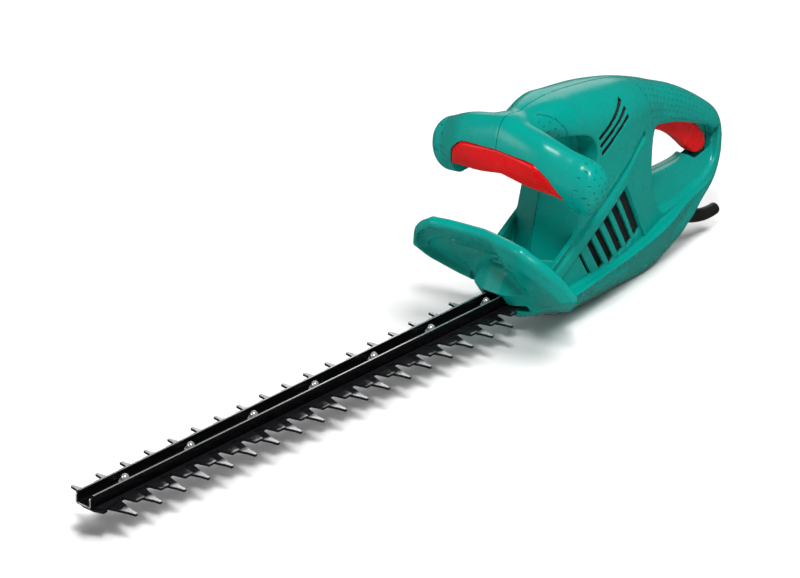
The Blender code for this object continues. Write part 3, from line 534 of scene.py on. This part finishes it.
def shell_grip(s, y, h):
    """The place in the dimple pattern and the distance to the nearest scribed line.

    Dimples lie on the ends of the front handle, beside the crown and on the rear grip."""
    far = np.full(s.shape, 1e3)
    wing = (y > 66) & (h > 118)
    rear = (s > GRIP_START + (h - 150) * GRIP_LEAN) & (h > 128) & (s < 752) & (hole_edge(s, h) > 3)
    crown = (s > 488) & (s < 512) & (h > 158) & (h < 190) & (y > 12) & (y < 40)
    turn = np.arctan2(h - (ridge(s) - 20.0), y)
    dots = np.stack([np.where(wing, s - (h - 150) * 0.2, s * 1.05),
                     np.where(wing, h, turn * 18.0), (wing | rear | crown) * 1.0], 1)
    rear_line = np.abs(s - (GRIP_START + (h - 150) * GRIP_LEAN)) * 0.94
    crown_line = np.abs(np.hypot(s - 492, (h - 160) * 0.7) - 24)
    line = np.where((h > 128) & (s > 600), rear_line, far)
    near_crown = (h > 158) & (s < 530) & (s > 492) & (y < 33)
    line = np.where(near_crown, np.minimum(line, crown_line), line)
    return dots, line


# Guard ------------------------------------------------------------------------------------

# By the distance from the middle: the upper and lower edges of the rim, and how far the front
# and back faces lie behind the line between them.
guard_top_s = track((0, 444), (30, 438.5), (44, 436), (53, 438.5), (61, 441.5), (68, 445.5),
                    (74, 451), (80, 457), (84, 461))
guard_top_h = track((0, 107.5), (30, 108), (44, 107.5), (53, 102.5), (61, 97.5), (68, 91.5),
                    (74, 84), (80, 74), (84, 67))
guard_low_s = track((0, 497), (44, 496), (55, 491), (65, 482), (74, 471.5), (80, 465.5), (84, 462))
guard_low_h = track((0, 36), (44, 37), (55, 41), (65, 48), (74, 56), (80, 62), (84, 65))
guard_front = track((0, -5.5), (50, -5.5), (70, -4.5), (84, -2.5))
guard_back = track((0, 3.5), (60, 3.5), (84, 2.0))

RIM, GUARD_HALF, GUARD_THICK = 5.5, 85.0, 3.0
SUNK_DEPTH, BULGE_HEIGHT = 6.0, 6.0
BAR_LEVEL, WEDGE_LEVEL, FOLD_LEVEL = -3.6, -3.0, -1.0   # raised details on the sunk half
NOSE_FRONT, NOSE_BEND, NOSE_TOP, NOSE_FLAT = 457.0, 50, 70.0, 8.0
SLIT_H, SLIT_HALF_H, SLIT_HALF = 34.25, 3.05, 22.5      # the slit that the blades run in
RAIL_SLIT_LOW, RAIL_SLIT_HIGH, RAIL_SLIT_HALF = 27.2, 48.7, 9.5


def guard(s, y, h):
    """The shield ahead of the front handle, with the nose that the blade comes out of."""
    a = np.abs(y)
    top_s, top_h = guard_top_s(a), guard_top_h(a)
    low_s, low_h = guard_low_s(a), guard_low_h(a)
    long = np.hypot(low_s - top_s, low_h - top_h)
    cs, ch = (low_s - top_s) / long, (low_h - top_h) / long
    p = (s - top_s) * cs + (h - top_h) * ch            # down the shield
    q = (h - top_h) * cs - (s - top_s) * ch            # back from the line of its rim
    open_low = 60.0 * ramp(46.0 - a, 0.0, 8.0)
    inner = np.minimum(np.minimum(p - RIM, long - RIM - p + open_low), 79.0 - a)
    crease = y + 9.0 + 0.0025 * (p - 20) ** 2          # the left half bulges, the right is sunk
    belly = BULGE_HEIGHT * ramp(np.minimum(np.minimum(p, long - p), -crease), -1.0, 20.0)
    sunk = both(-inner, -crease, 6.0)
    front = guard_front(a) - np.where(crease < 0, belly, 0) + SUNK_DEPTH * ramp(-sunk, 0.0, 8.0)
    bar = both(np.abs(p - 11.5) - 4.0, np.abs(y - 11.0) - 25.0)
    wedge = both(np.abs(p - 40.0) - 7.3, both(y - 42.0, (p - 32.7) * 1.25 - 5.0 - y))
    fold = both(np.abs(p - 28.0 + (y - 50) * 0.12) - 0.8, np.abs(y - 62.0) - 12.0)
    for detail, level in ((bar, BAR_LEVEL), (wedge, WEDGE_LEVEL), (fold, FOLD_LEVEL)):
        front = front + (np.minimum(front, level) - front) * ramp(-detail, -0.4, 1.0)
    plate = both(front - q, q - np.maximum(guard_back(a), front + GUARD_THICK), 3.6)
    plate = both(plate, both(-p, p - long, 1.0), 4.2)
    plate = both(plate, a - GUARD_HALF, 4.0)

    out = np.maximum(a - NOSE_FLAT, 0)
    bend = np.where(h < NOSE_BEND, 0.77 * (NOSE_BEND - h), 0.6 * (h - NOSE_BEND))
    face = NOSE_FRONT + bend + 0.3 * out + np.where(y < 0, 0.022, 0.012) * out**2
    side = np.where(h > hull_h(s), hull_y(s) - (h - hull_h(s)) * 0.25, hull_side(s, h))
    nose = both((a - side) * 0.8, keel(s) - h, 1.0)
    nose = both(nose, both((face - s) * 0.75, h - NOSE_TOP, 3.0), 3.0)
    body = either(plate, nose, 4.0 + 8.0 * ramp(a, 20.0, 38.0))
    body = both(body, guard_behind(s, h))
    tunnel = both(np.abs(h - SLIT_H) - SLIT_HALF_H, a - SLIT_HALF)
    tunnel = either(tunnel, both(both(RAIL_SLIT_LOW - h, h - RAIL_SLIT_HIGH),
                                 a - RAIL_SLIT_HALF, 2.5))
    return without(body, both(tunnel, s - 600.0), 0.8)


# Small moulded pieces ---------------------------------------------------------------------

def switch_bar(s, y, h):
    """The red bar in the front handle, slightly bulged."""
    a = np.abs(y)
    p, q, long = bar_pq(s, a, h)
    bulge = 2.2 * (1 - np.clip(np.abs(p / long * 2 - 1), 0, 1) ** 2)
    shape = both(both(-q - bulge, q - BAR_DEPTH, 2.0), both(-p, p - long), 2.6)
    return both(shape, a - BAR_END, 2.0)


TRIGGER = [(655, 134), (666, 128), (681, 121), (694, 113), (705, 104), (714, 96), (721, 91.3),
           (729, 90.6), (734.3, 94.5), (734, 103), (726, 113), (713, 123), (700, 130), (685, 136),
           (672, 140), (662, 144.5), (655, 142)]
trigger_edge = outline(spline(TRIGGER), margin=12.0)
TRIGGER_HALF = 6.5


def trigger(s, y, h):
    """The red trigger in the rear handle."""
    return both(trigger_edge(s, h), np.abs(y) - TRIGGER_HALF, 2.4)


def add(piece, node, body, look):
    """Puts a piece in the place of a CAD node, on its body."""
    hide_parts(node)
    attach(piece, body)
    piece.data.materials.append(look)
    return piece


# Materials --------------------------------------------------------------------------------

DOT_PITCH, DOT_RADIUS, PIT_DEPTH = 6.4, 1.0, 0.0005
ROW_PITCH = DOT_PITCH * 0.8
# The painted reflection on the blade flats fades in between these distances.
REFLECTION_FROM, REFLECTION_FULLY = 0.016, 0.033       # metres from the middle of the blades
MIX_FACTOR, MIX_A, MIX_B = 0, 6, 7         # input sockets of a colour mix node
MIX_COLOUR = 2                             # and its output
GREEN = (0.0, 0.215, 0.178), (0.0, 0.24, 0.2), 0.25   # dark and light shade, roughness


def look(name, colour, roughness, metallic=0.0, shine=0.5):
    """A new material and its shader node."""
    made = bpy.data.materials.new(name)
    made.use_nodes = True
    shader = made.node_tree.nodes["Principled BSDF"]
    shader.inputs["Base Color"].default_value = (*colour, 1.0)
    shader.inputs["Roughness"].default_value = roughness
    shader.inputs["Metallic"].default_value = metallic
    shader.inputs["Specular IOR Level"].default_value = shine
    shader.inputs["IOR"].default_value = 1.4
    return made, shader


def node(tree, kind, **values):
    """A new node, with values for its sockets and settings."""
    made = tree.nodes.new(kind)
    for key, value in values.items():
        if key in made.inputs:
            made.inputs[key].default_value = value
        else:
            setattr(made, key, value)
    return made


def noise(tree, scale, detail=3.0, roughness=0.5):
    """A noise value fixed to the piece."""
    place = tree.nodes.new("ShaderNodeTexCoord")
    made = node(tree, "ShaderNodeTexNoise", Scale=scale, Detail=detail, Roughness=roughness)
    tree.links.new(place.outputs["Object"], made.inputs["Vector"])
    return made.outputs["Fac"]


def spread(tree, value, low, high):
    """Maps noise, which stays around a half, to the range from low to high."""
    made = node(tree, "ShaderNodeMapRange")
    made.inputs["From Min"].default_value = 0.3
    made.inputs["From Max"].default_value = 0.7
    made.inputs["To Min"].default_value = low
    made.inputs["To Max"].default_value = high
    tree.links.new(value, made.inputs["Value"])
    return made.outputs["Result"]


def bump(tree, height, distance, strength, shader):
    """Fine relief on a shader."""
    made = node(tree, "ShaderNodeBump", Strength=strength, Distance=distance)
    tree.links.new(height, made.inputs["Height"])
    tree.links.new(made.outputs["Normal"], shader.inputs["Normal"])


def tinted(tree, value, dark, light, shader):
    """Base colour between two shades, by a noise value."""
    made = node(tree, "ShaderNodeValToRGB")
    made.color_ramp.elements[0].color = (*dark, 1.0)
    made.color_ramp.elements[0].position = 0.3
    made.color_ramp.elements[1].color = (*light, 1.0)
    made.color_ramp.elements[1].position = 0.7
    tree.links.new(value, made.inputs["Fac"])
    tree.links.new(made.outputs["Color"], shader.inputs["Base Color"])


def plastic(name, dark, light, rough, grain):
    """Satin moulded plastic: slight shade changes and a fine spark-eroded grain."""
    made, shader = look(name, light, rough, shine=0.4)
    tree = made.node_tree
    tinted(tree, noise(tree, 18.0), dark, light, shader)
    tree.links.new(spread(tree, noise(tree, 60.0), rough - 0.04, rough + 0.05),
                   shader.inputs["Roughness"])
    bump(tree, noise(tree, 2600.0, 2.0), 0.0001, grain, shader)
    return made


def coated_steel(name, dark, light, rough):
    """Black oxide steel with faint rolling streaks along the blade."""
    made, shader = look(name, light, rough, metallic=0.85)
    tree = made.node_tree
    place = tree.nodes.new("ShaderNodeTexCoord")
    stretch = node(tree, "ShaderNodeMapping")
    stretch.inputs["Scale"].default_value = (6.0, 300.0, 300.0)
    grain = node(tree, "ShaderNodeTexNoise", Scale=4.0, Detail=4.0)
    tree.links.new(place.outputs["Object"], stretch.inputs["Vector"])
    tree.links.new(stretch.outputs["Vector"], grain.inputs["Vector"])
    tinted(tree, grain.outputs["Fac"], dark, light, shader)
    tree.links.new(spread(tree, grain.outputs["Fac"], rough - 0.06, rough + 0.1),
                   shader.inputs["Roughness"])
    bump(tree, grain.outputs["Fac"], 0.0001, 0.25, shader)
    return made


def bright_steel(name, colour, rough):
    """Ground or plated steel with fine marks."""
    made, shader = look(name, colour, rough, metallic=0.75)
    tree = made.node_tree
    dark = tuple(0.82 * c for c in colour)
    tinted(tree, noise(tree, 140.0, 4.0), dark, colour, shader)
    tree.links.new(spread(tree, noise(tree, 420.0), rough - 0.05, rough + 0.08),
                   shader.inputs["Roughness"])
    bump(tree, noise(tree, 1500.0, 2.0), 0.00005, 0.3, shader)
    return made


def steel_with_painted_reflection(name, dark, bright, rough):
    """Blade steel: coated near the rail, with a painted reflection that brightens it towards the
    tips of the teeth.
    """
    made, shader = look(name, bright, rough, metallic=0.45)
    tree = made.node_tree
    place = tree.nodes.new("ShaderNodeTexCoord")
    axes = tree.nodes.new("ShaderNodeSeparateXYZ")
    tree.links.new(place.outputs["Object"], axes.inputs[0])
    out = node(tree, "ShaderNodeMath", operation="ABSOLUTE")
    tree.links.new(axes.outputs["Y"], out.inputs[0])
    uneven = node(tree, "ShaderNodeMath", operation="MULTIPLY_ADD")
    uneven.inputs[1].default_value = 0.006
    tree.links.new(noise(tree, 220.0), uneven.inputs[0])
    tree.links.new(out.outputs[0], uneven.inputs[2])
    reflection_share = node(tree, "ShaderNodeMapRange", interpolation_type="SMOOTHSTEP")
    reflection_share.inputs["From Min"].default_value = REFLECTION_FROM
    reflection_share.inputs["From Max"].default_value = REFLECTION_FULLY
    tree.links.new(uneven.outputs[0], reflection_share.inputs["Value"])
    tinted(tree, reflection_share.outputs[0], dark, bright, shader)
    tree.links.new(spread(tree, noise(tree, 300.0), rough - 0.05, rough + 0.1),
                   shader.inputs["Roughness"])
    bump(tree, noise(tree, 900.0), 0.00008, 0.2, shader)
    return made


def dimpled(name, dark, light, rough):
    """The green plastic, with dimples and scribed lines where the mesh asks for them, sunk by a
    bump and darkened with painted shade.
    """
    made = plastic(name, dark, light, rough, 0.05)
    tree = made.node_tree
    shader = tree.nodes["Principled BSDF"]
    places = node(tree, "ShaderNodeAttribute", attribute_name="dots")
    axes = tree.nodes.new("ShaderNodeSeparateXYZ")
    tree.links.new(places.outputs["Vector"], axes.inputs[0])

    def math_of(operation, *values):
        maths = node(tree, "ShaderNodeMath", operation=operation)
        for socket, value in zip(maths.inputs, values):
            if isinstance(value, float):
                socket.default_value = value
            else:
                tree.links.new(value, socket)
        return maths.outputs[0]

    # rows of dots, every other row shifted by half a pitch
    row = math_of("DIVIDE", axes.outputs["Y"], ROW_PITCH)
    odd = math_of("MULTIPLY", math_of("MODULO", math_of("FLOOR", row), 2.0), 0.5)
    column = math_of("ADD", math_of("DIVIDE", axes.outputs["X"], DOT_PITCH), odd)
    off_x = math_of("MULTIPLY", math_of("SUBTRACT", math_of("FRACT", column), 0.5), DOT_PITCH)
    off_y = math_of("MULTIPLY", math_of("SUBTRACT", math_of("FRACT", row), 0.5), ROW_PITCH)
    squares = math_of("ADD", math_of("POWER", off_x, 2.0), math_of("POWER", off_y, 2.0))

    def fading(value, near, far):
        """One below near, zero above far."""
        fade = node(tree, "ShaderNodeMapRange", interpolation_type="SMOOTHSTEP")
        for socket, number in (("From Min", near), ("From Max", far), ("To Min", 1.0),
                               ("To Max", 0.0)):
            fade.inputs[socket].default_value = number
        tree.links.new(value, fade.inputs["Value"])
        return fade.outputs[0]

    dots = math_of("MULTIPLY", fading(math_of("SQRT", squares), 0.3, DOT_RADIUS),
                   axes.outputs["Z"])
    lines = node(tree, "ShaderNodeAttribute", attribute_name="line")
    pits = math_of("MAXIMUM", dots, fading(lines.outputs["Fac"], 0.1, 0.5))

    grain = shader.inputs["Normal"].links[0].from_node
    deep = node(tree, "ShaderNodeBump", Strength=1.0, Distance=PIT_DEPTH, invert=True)
    tree.links.new(pits, deep.inputs["Height"])
    tree.links.new(grain.outputs["Normal"], deep.inputs["Normal"])
    tree.links.new(deep.outputs["Normal"], shader.inputs["Normal"])
    # Painted shade: the dots and scribed lines are darkened in colour as well as sunk by the bump.
    shade = node(tree, "ShaderNodeMix", data_type="RGBA")
    shade.inputs[MIX_B].default_value = (*(0.45 * c for c in dark), 1.0)
    tree.links.new(math_of("MULTIPLY", pits, 0.7), shade.inputs[MIX_FACTOR])
    tree.links.new(shader.inputs["Base Color"].links[0].from_socket, shade.inputs[MIX_A])
    tree.links.new(shade.outputs[MIX_COLOUR], shader.inputs["Base Color"])
    return made


green = dimpled("green_plastic", *GREEN)
plain_green = plastic("plain_green_plastic", *GREEN, 0.05)
red = plastic("red_plastic", (0.52, 0.0, 0.001), (0.6, 0.0, 0.002), 0.28, 0.05)
black_plastic = plastic("black_plastic", (0.012, 0.012, 0.013), (0.025, 0.025, 0.026), 0.5, 0.15)
soft_black = plastic("soft_black", (0.008, 0.008, 0.007), (0.016, 0.016, 0.014), 0.42, 0.2)
nylon = plastic("nylon", (0.17, 0.17, 0.18), (0.24, 0.24, 0.25), 0.5, 0.1)
carbon = plastic("carbon", (0.02, 0.02, 0.02), (0.05, 0.05, 0.05), 0.7, 0.3)
black_steel = coated_steel("black_steel", (0.006, 0.006, 0.007), (0.022, 0.022, 0.024), 0.3)
blade_steel = coated_steel("blade_steel", (0.02, 0.02, 0.022), (0.06, 0.06, 0.064), 0.3)
tooth_steel = steel_with_painted_reflection("tooth_steel", (0.01, 0.01, 0.012), (0.5, 0.51, 0.53), 0.25)
# Painted highlight: bright steel for the rail's top and front edge faces.
painted_highlight_steel = bright_steel("painted_highlight_steel", (0.62, 0.63, 0.65), 0.22)
fastener = bright_steel("fastener", (0.72, 0.72, 0.73), 0.2)
copper = bright_steel("copper", (0.75, 0.36, 0.18), 0.35)
alloy = bright_steel("alloy", (0.7, 0.71, 0.73), 0.45)
laminate = coated_steel("laminate", (0.12, 0.12, 0.13), (0.24, 0.24, 0.25), 0.5)

# The inner parts keep their CAD meshes.
for name, finish in (("fastener", fastener), ("copper", copper), ("alloy", alloy),
                     ("nylon", nylon), ("laminate", laminate),
                     ("black_plastic", black_plastic), ("carbon", carbon)):
    for sub in frame["record"]["subparts"]:
        if sub["material_slot"] == name:
            shown = bpy.data.objects[sub["node"]]
            shown.data.materials.clear()
            shown.data.materials.append(finish)

# Pieces -----------------------------------------------------------------------------------

SHELL_BOX = (450, -2, 0), (762, 92, 206)
GUARD_BOX = (430, -90, 0), (556, 90, 118)
BAR_BOX = (450, -58, 130), (496, 58, 178)
TRIGGER_BOX = (648, -9, 84), (740, 9, 154)
for side in ("left", "right"):
    shell = moulded(f"shell_{side}", housing, *SHELL_BOX, mirror=side == "left",
                    dark=painted_vent_shade, grip=shell_grip)
    add(shell, f"housing_{side}", "housing", green)
    # Second material: black plastic as painted shade on the walls deep inside the grille and
    # slots.
    shell.data.materials.append(black_plastic)
add(moulded("shield", guard, *GUARD_BOX), "hand_guard", "housing", plain_green)
add(moulded("front_bar", switch_bar, *BAR_BOX, FINE_STEP), "front_switch_bar", "front_bar",
    red)
add(moulded("finger_trigger", trigger, *TRIGGER_BOX, FINEST_STEP), "trigger", "rear_trigger",
    red)


# Blade ------------------------------------------------------------------------------------

NUTS, FIRST_NUT, NUT_SPACING = 7, 42.7, 68.27
NUT_CORNERS = (38.4, 41.0)                 # heights between which a cap nut is hexagonal
BOLT_R = 3.4
# profile of a bolt, as (radius, h)
BOLT = [(2.0, 43.0), (2.0, 36.1), (BOLT_R, 36.1), (BOLT_R, 34.2), (2.1, 34.2), (2.1, 31.7),
        (4.6, 31.7), (4.6, 31.2), (4.1, 30.2), (2.4, 29.6), (0.6, 29.4)]
RAIL_EDGE_H, RAIL_END_S = 46, 1.2          # rail faces with the painted highlight: above, and ahead of, these


def from_bmesh(name, bm, smooth=35.0):
    """An object from a bmesh, smooth below an angle."""
    mesh = bpy.data.meshes.new(name)
    bm.to_mesh(mesh)
    bm.free()
    mesh.shade_smooth()
    mesh.set_sharp_from_angle(angle=math.radians(smooth))
    piece = bpy.data.objects.new(name, mesh)
    bpy.context.scene.collection.objects.link(piece)
    return piece


def refined(name, node_name, width, segments=2, angle=50.0):
    """A copy of a CAD node's mesh with its flats whole again and its edges bevelled."""
    bm = bmesh.new()
    bm.from_mesh(bpy.data.objects[node_name].data)
    bmesh.ops.remove_doubles(bm, verts=bm.verts, dist=1e-5)
    bmesh.ops.dissolve_limit(bm, angle_limit=math.radians(1.0), verts=bm.verts, edges=bm.edges)
    sharp = [e for e in bm.edges if e.is_manifold and e.calc_face_angle() > math.radians(angle)]
    bmesh.ops.bevel(bm, geom=sharp, offset=width * MM, segments=segments, profile=0.5,
                    affect="EDGES", clamp_overlap=True)
    return from_bmesh(name, bm)


def turned(name, profile, s, corners=None, sides=36):
    """A solid of revolution about an upright axis at station s, from (radius, h) pairs.

    The heights in corners are hexagonal."""
    bm = bmesh.new()
    rings = []
    for radius, h in profile:
        ring = []
        for k in range(sides):
            a = math.tau * k / sides
            reach = radius
            if corners and corners[0] <= h <= corners[1]:
                reach = radius / math.cos((a + math.pi / 6) % (math.pi / 3) - math.pi / 6)
            ring.append(bm.verts.new(at(s + reach * math.cos(a), reach * math.sin(a), h)))
        rings.append(ring)
    for near, far in zip(rings, rings[1:]):
        for i in range(sides):
            j = (i + 1) % sides
            bm.faces.new((near[i], near[j], far[j], far[i]))
    bm.faces.new(rings[0])
    bm.faces.new(rings[-1])
    bmesh.ops.recalc_face_normals(bm, faces=bm.faces)
    return from_bmesh(name, bm)


def dome(radius, low, top, steps=7):
    """Profile of a round head, from its rim up to its top."""
    return [(radius * math.cos(a), low + (top - low) * math.sin(a))
            for a in (math.radians(88) * k / steps for k in range(steps + 1))]


def build_blade_parts():
    """The two blades, the rail over them, and its nuts and bolts."""
    for name, node_name, body in (("lower_blade", "comb_blade", "housing"),
                                  ("upper_blade", "cutter_blade", "cutter")):
        blade = refined(name, node_name, 0.25)
        add(blade, node_name, body, blade_steel)
        # The flat faces take tooth steel, lightened towards the teeth by a painted reflection.
        blade.data.materials.append(tooth_steel)
        for face in blade.data.polygons:
            if abs(face.normal.z) > 0.9:
                face.material_index = 1
    rail = refined("top_rail", "blade_rail", 0.4, 3)
    add(rail, "blade_rail", "housing", black_steel)
    # The rail's top and front edge faces take bright steel as a painted highlight.
    rail.data.materials.append(painted_highlight_steel)
    for face in rail.data.polygons:
        edge_top = face.normal.z > 0.5 and face.center.z > at(0, 0, RAIL_EDGE_H).z
        edge_front = face.normal.x < -0.6 and face.center.x < at(RAIL_END_S, 0, 0).x
        if edge_top or edge_front:
            face.material_index = 1
    cap = [(4.2, 38.45), (4.45, 38.7), (4.45, 40.9), (4.1, 41.3), (3.35, 41.4),
           *dome(3.3, 42.2, 46.4)]
    for k in range(NUTS):
        s = FIRST_NUT + NUT_SPACING * k
        nut = turned(f"cap_nut_{k + 1}", cap, s, corners=NUT_CORNERS)
        add(nut, f"blade_nut_{k + 1}", "housing", fastener)
        bolt = turned(f"shoulder_bolt_{k + 1}", BOLT, s)
        add(bolt, f"blade_bolt_{k + 1}", "housing", fastener)


SLEEVE_R, SLEEVE_TAPER, CORD_WAY = 6.8, 1.6, 3.7
SLEEVE_SIDES = 32


def build_sleeve():
    """The soft tapered sleeve that guides the cord out of the body."""
    route = np.array(SLEEVE_ROUTE, float)
    chord = np.concatenate([[0], np.cumsum(np.hypot(*np.diff(route, axis=0).T))])
    place_s = track(*zip(chord, route[:, 0]))
    place_h = track(*zip(chord, route[:, 1]))
    total = chord[-1]
    shape = [(t, SLEEVE_R - SLEEVE_TAPER * t / total) for t in np.linspace(0, total - 1.2, 30)]
    shape += [(total - 0.5, 5.0), (total, 4.5), (total, 3.9)]
    shape += [(t, CORD_WAY) for t in np.linspace(total - 0.6, 0, 12)]
    bm = bmesh.new()
    rings = []
    for t, radius in shape:
        ds, dh = place_s(t + 0.5) - place_s(t - 0.5), place_h(t + 0.5) - place_h(t - 0.5)
        long = math.hypot(ds, dh)
        rings.append([bm.verts.new(at(place_s(t) - dh / long * radius * math.sin(a),
                                      radius * math.cos(a),
                                      place_h(t) + ds / long * radius * math.sin(a)))
                      for a in (math.tau * k / SLEEVE_SIDES for k in range(SLEEVE_SIDES))])
    for near, far in zip(rings, rings[1:] + rings[:1]):
        for i in range(SLEEVE_SIDES):
            j = (i + 1) % SLEEVE_SIDES
            bm.faces.new((near[i], near[j], far[j], far[i]))
    bmesh.ops.recalc_face_normals(bm, faces=bm.faces)
    add(from_bmesh("cable_sleeve", bm), "cord_sleeve", "housing", soft_black)


build_blade_parts()
build_sleeve()


# Camera, lights and floor -----------------------------------------------------------------

CAMERA_PLACE = (-1585.86, -1621.44, 1240.49)
CAMERA_AZIMUTH = math.radians(-49.984)
CAMERA_ELEVATION = math.radians(24.530)
CAMERA_ROLL = math.radians(1.013)
LENS, SENSOR, VIEW_DEPTH = 162.0, 36.0, 50
FLOOR_HALF, FLOOR_OUTER, FLOOR_RISE = 5, 10, 5   # a flat square with sides that slope up
FLOOR_GAP = 0.0002
WORLD_LIGHT = 0.08


def build_camera():
    """The camera, ahead of the blade's tip, to its left and above."""
    camera = bpy.data.objects.new("camera", bpy.data.cameras.new("camera"))
    bpy.context.scene.collection.objects.link(camera)
    a, e = CAMERA_AZIMUTH, CAMERA_ELEVATION
    back = Vector((math.sin(a) * math.cos(e), -math.cos(a) * math.cos(e), math.sin(e)))
    right = Vector((math.cos(a), math.sin(a), 0))
    turn = Matrix((right, back.cross(right), back)).transposed().to_4x4()
    camera.matrix_world = (Matrix.Translation(at(*CAMERA_PLACE)) @ turn
                           @ Matrix.Rotation(CAMERA_ROLL, 4, "Z"))
    camera.data.lens = LENS
    camera.data.sensor_width = SENSOR
    camera.data.clip_end = VIEW_DEPTH
    bpy.context.scene.camera = camera


def build_light(name, direction, distance, size, power):
    """A round lamp that points at the body."""
    lamp = bpy.data.objects.new(name, bpy.data.lights.new(name, "AREA"))
    lamp.data.shape = "DISK"
    lamp.data.size = size
    lamp.data.energy = power
    middle = at(560, 0, 100)
    place = middle + Vector(direction).normalized() * distance
    turn = (place - middle).to_track_quat("Z", "Y").to_matrix().to_4x4()
    lamp.matrix_world = Matrix.Translation(place) @ turn
    bpy.context.scene.collection.objects.link(lamp)


def build_sun(direction, strength, spread_angle):
    """A broad soft light from one direction, even over the whole floor."""
    lamp = bpy.data.objects.new("sky", bpy.data.lights.new("sky", "SUN"))
    lamp.data.energy = strength
    lamp.data.angle = math.radians(spread_angle)
    lamp.visible_glossy = False
    lamp.matrix_world = Vector(direction).to_track_quat("Z", "Y").to_matrix().to_4x4()
    bpy.context.scene.collection.objects.link(lamp)


def build_stage():
    """A pale floor and an even, dim world."""
    mesh = bpy.data.meshes.new("floor")
    corners = [(x * r, y * r, z) for r, z in ((FLOOR_HALF, 0), (FLOOR_OUTER, FLOOR_RISE))
               for x, y in ((-1, -1), (1, -1), (1, 1), (-1, 1))]
    sides = [(k, (k + 1) % 4, (k + 1) % 4 + 4, k + 4) for k in range(4)]
    mesh.from_pydata(corners, [], [(0, 1, 2, 3)] + [side[::-1] for side in sides])
    floor = bpy.data.objects.new("floor", mesh)
    floor.location.z = cad_box[0][2] - FLOOR_GAP
    floor.visible_glossy = False
    bpy.context.scene.collection.objects.link(floor)
    paper, _ = look("pale_paper", (0.8, 0.8, 0.8), 0.8)
    mesh.materials.append(paper)
    world = bpy.data.worlds.new("studio")
    world.use_nodes = True
    background = world.node_tree.nodes["Background"]
    background.inputs["Color"].default_value = (1, 1, 1, 1)
    background.inputs["Strength"].default_value = WORLD_LIGHT
    bpy.context.scene.world = world
    bpy.context.scene.view_settings.view_transform = "Standard"


build_camera()
build_sun((0.05, -0.3, 1.0), 2.9, 40.0)
build_light("key", (-0.7, -0.5, 1.0), 2.0, 0.4, 27)
build_light("fill", (-1.0, 0.6, 0.25), 2.2, 0.8, 7)
build_light("back", (0.72, 0.56, 0.42), 2.6, 1.6, 9)
build_stage()
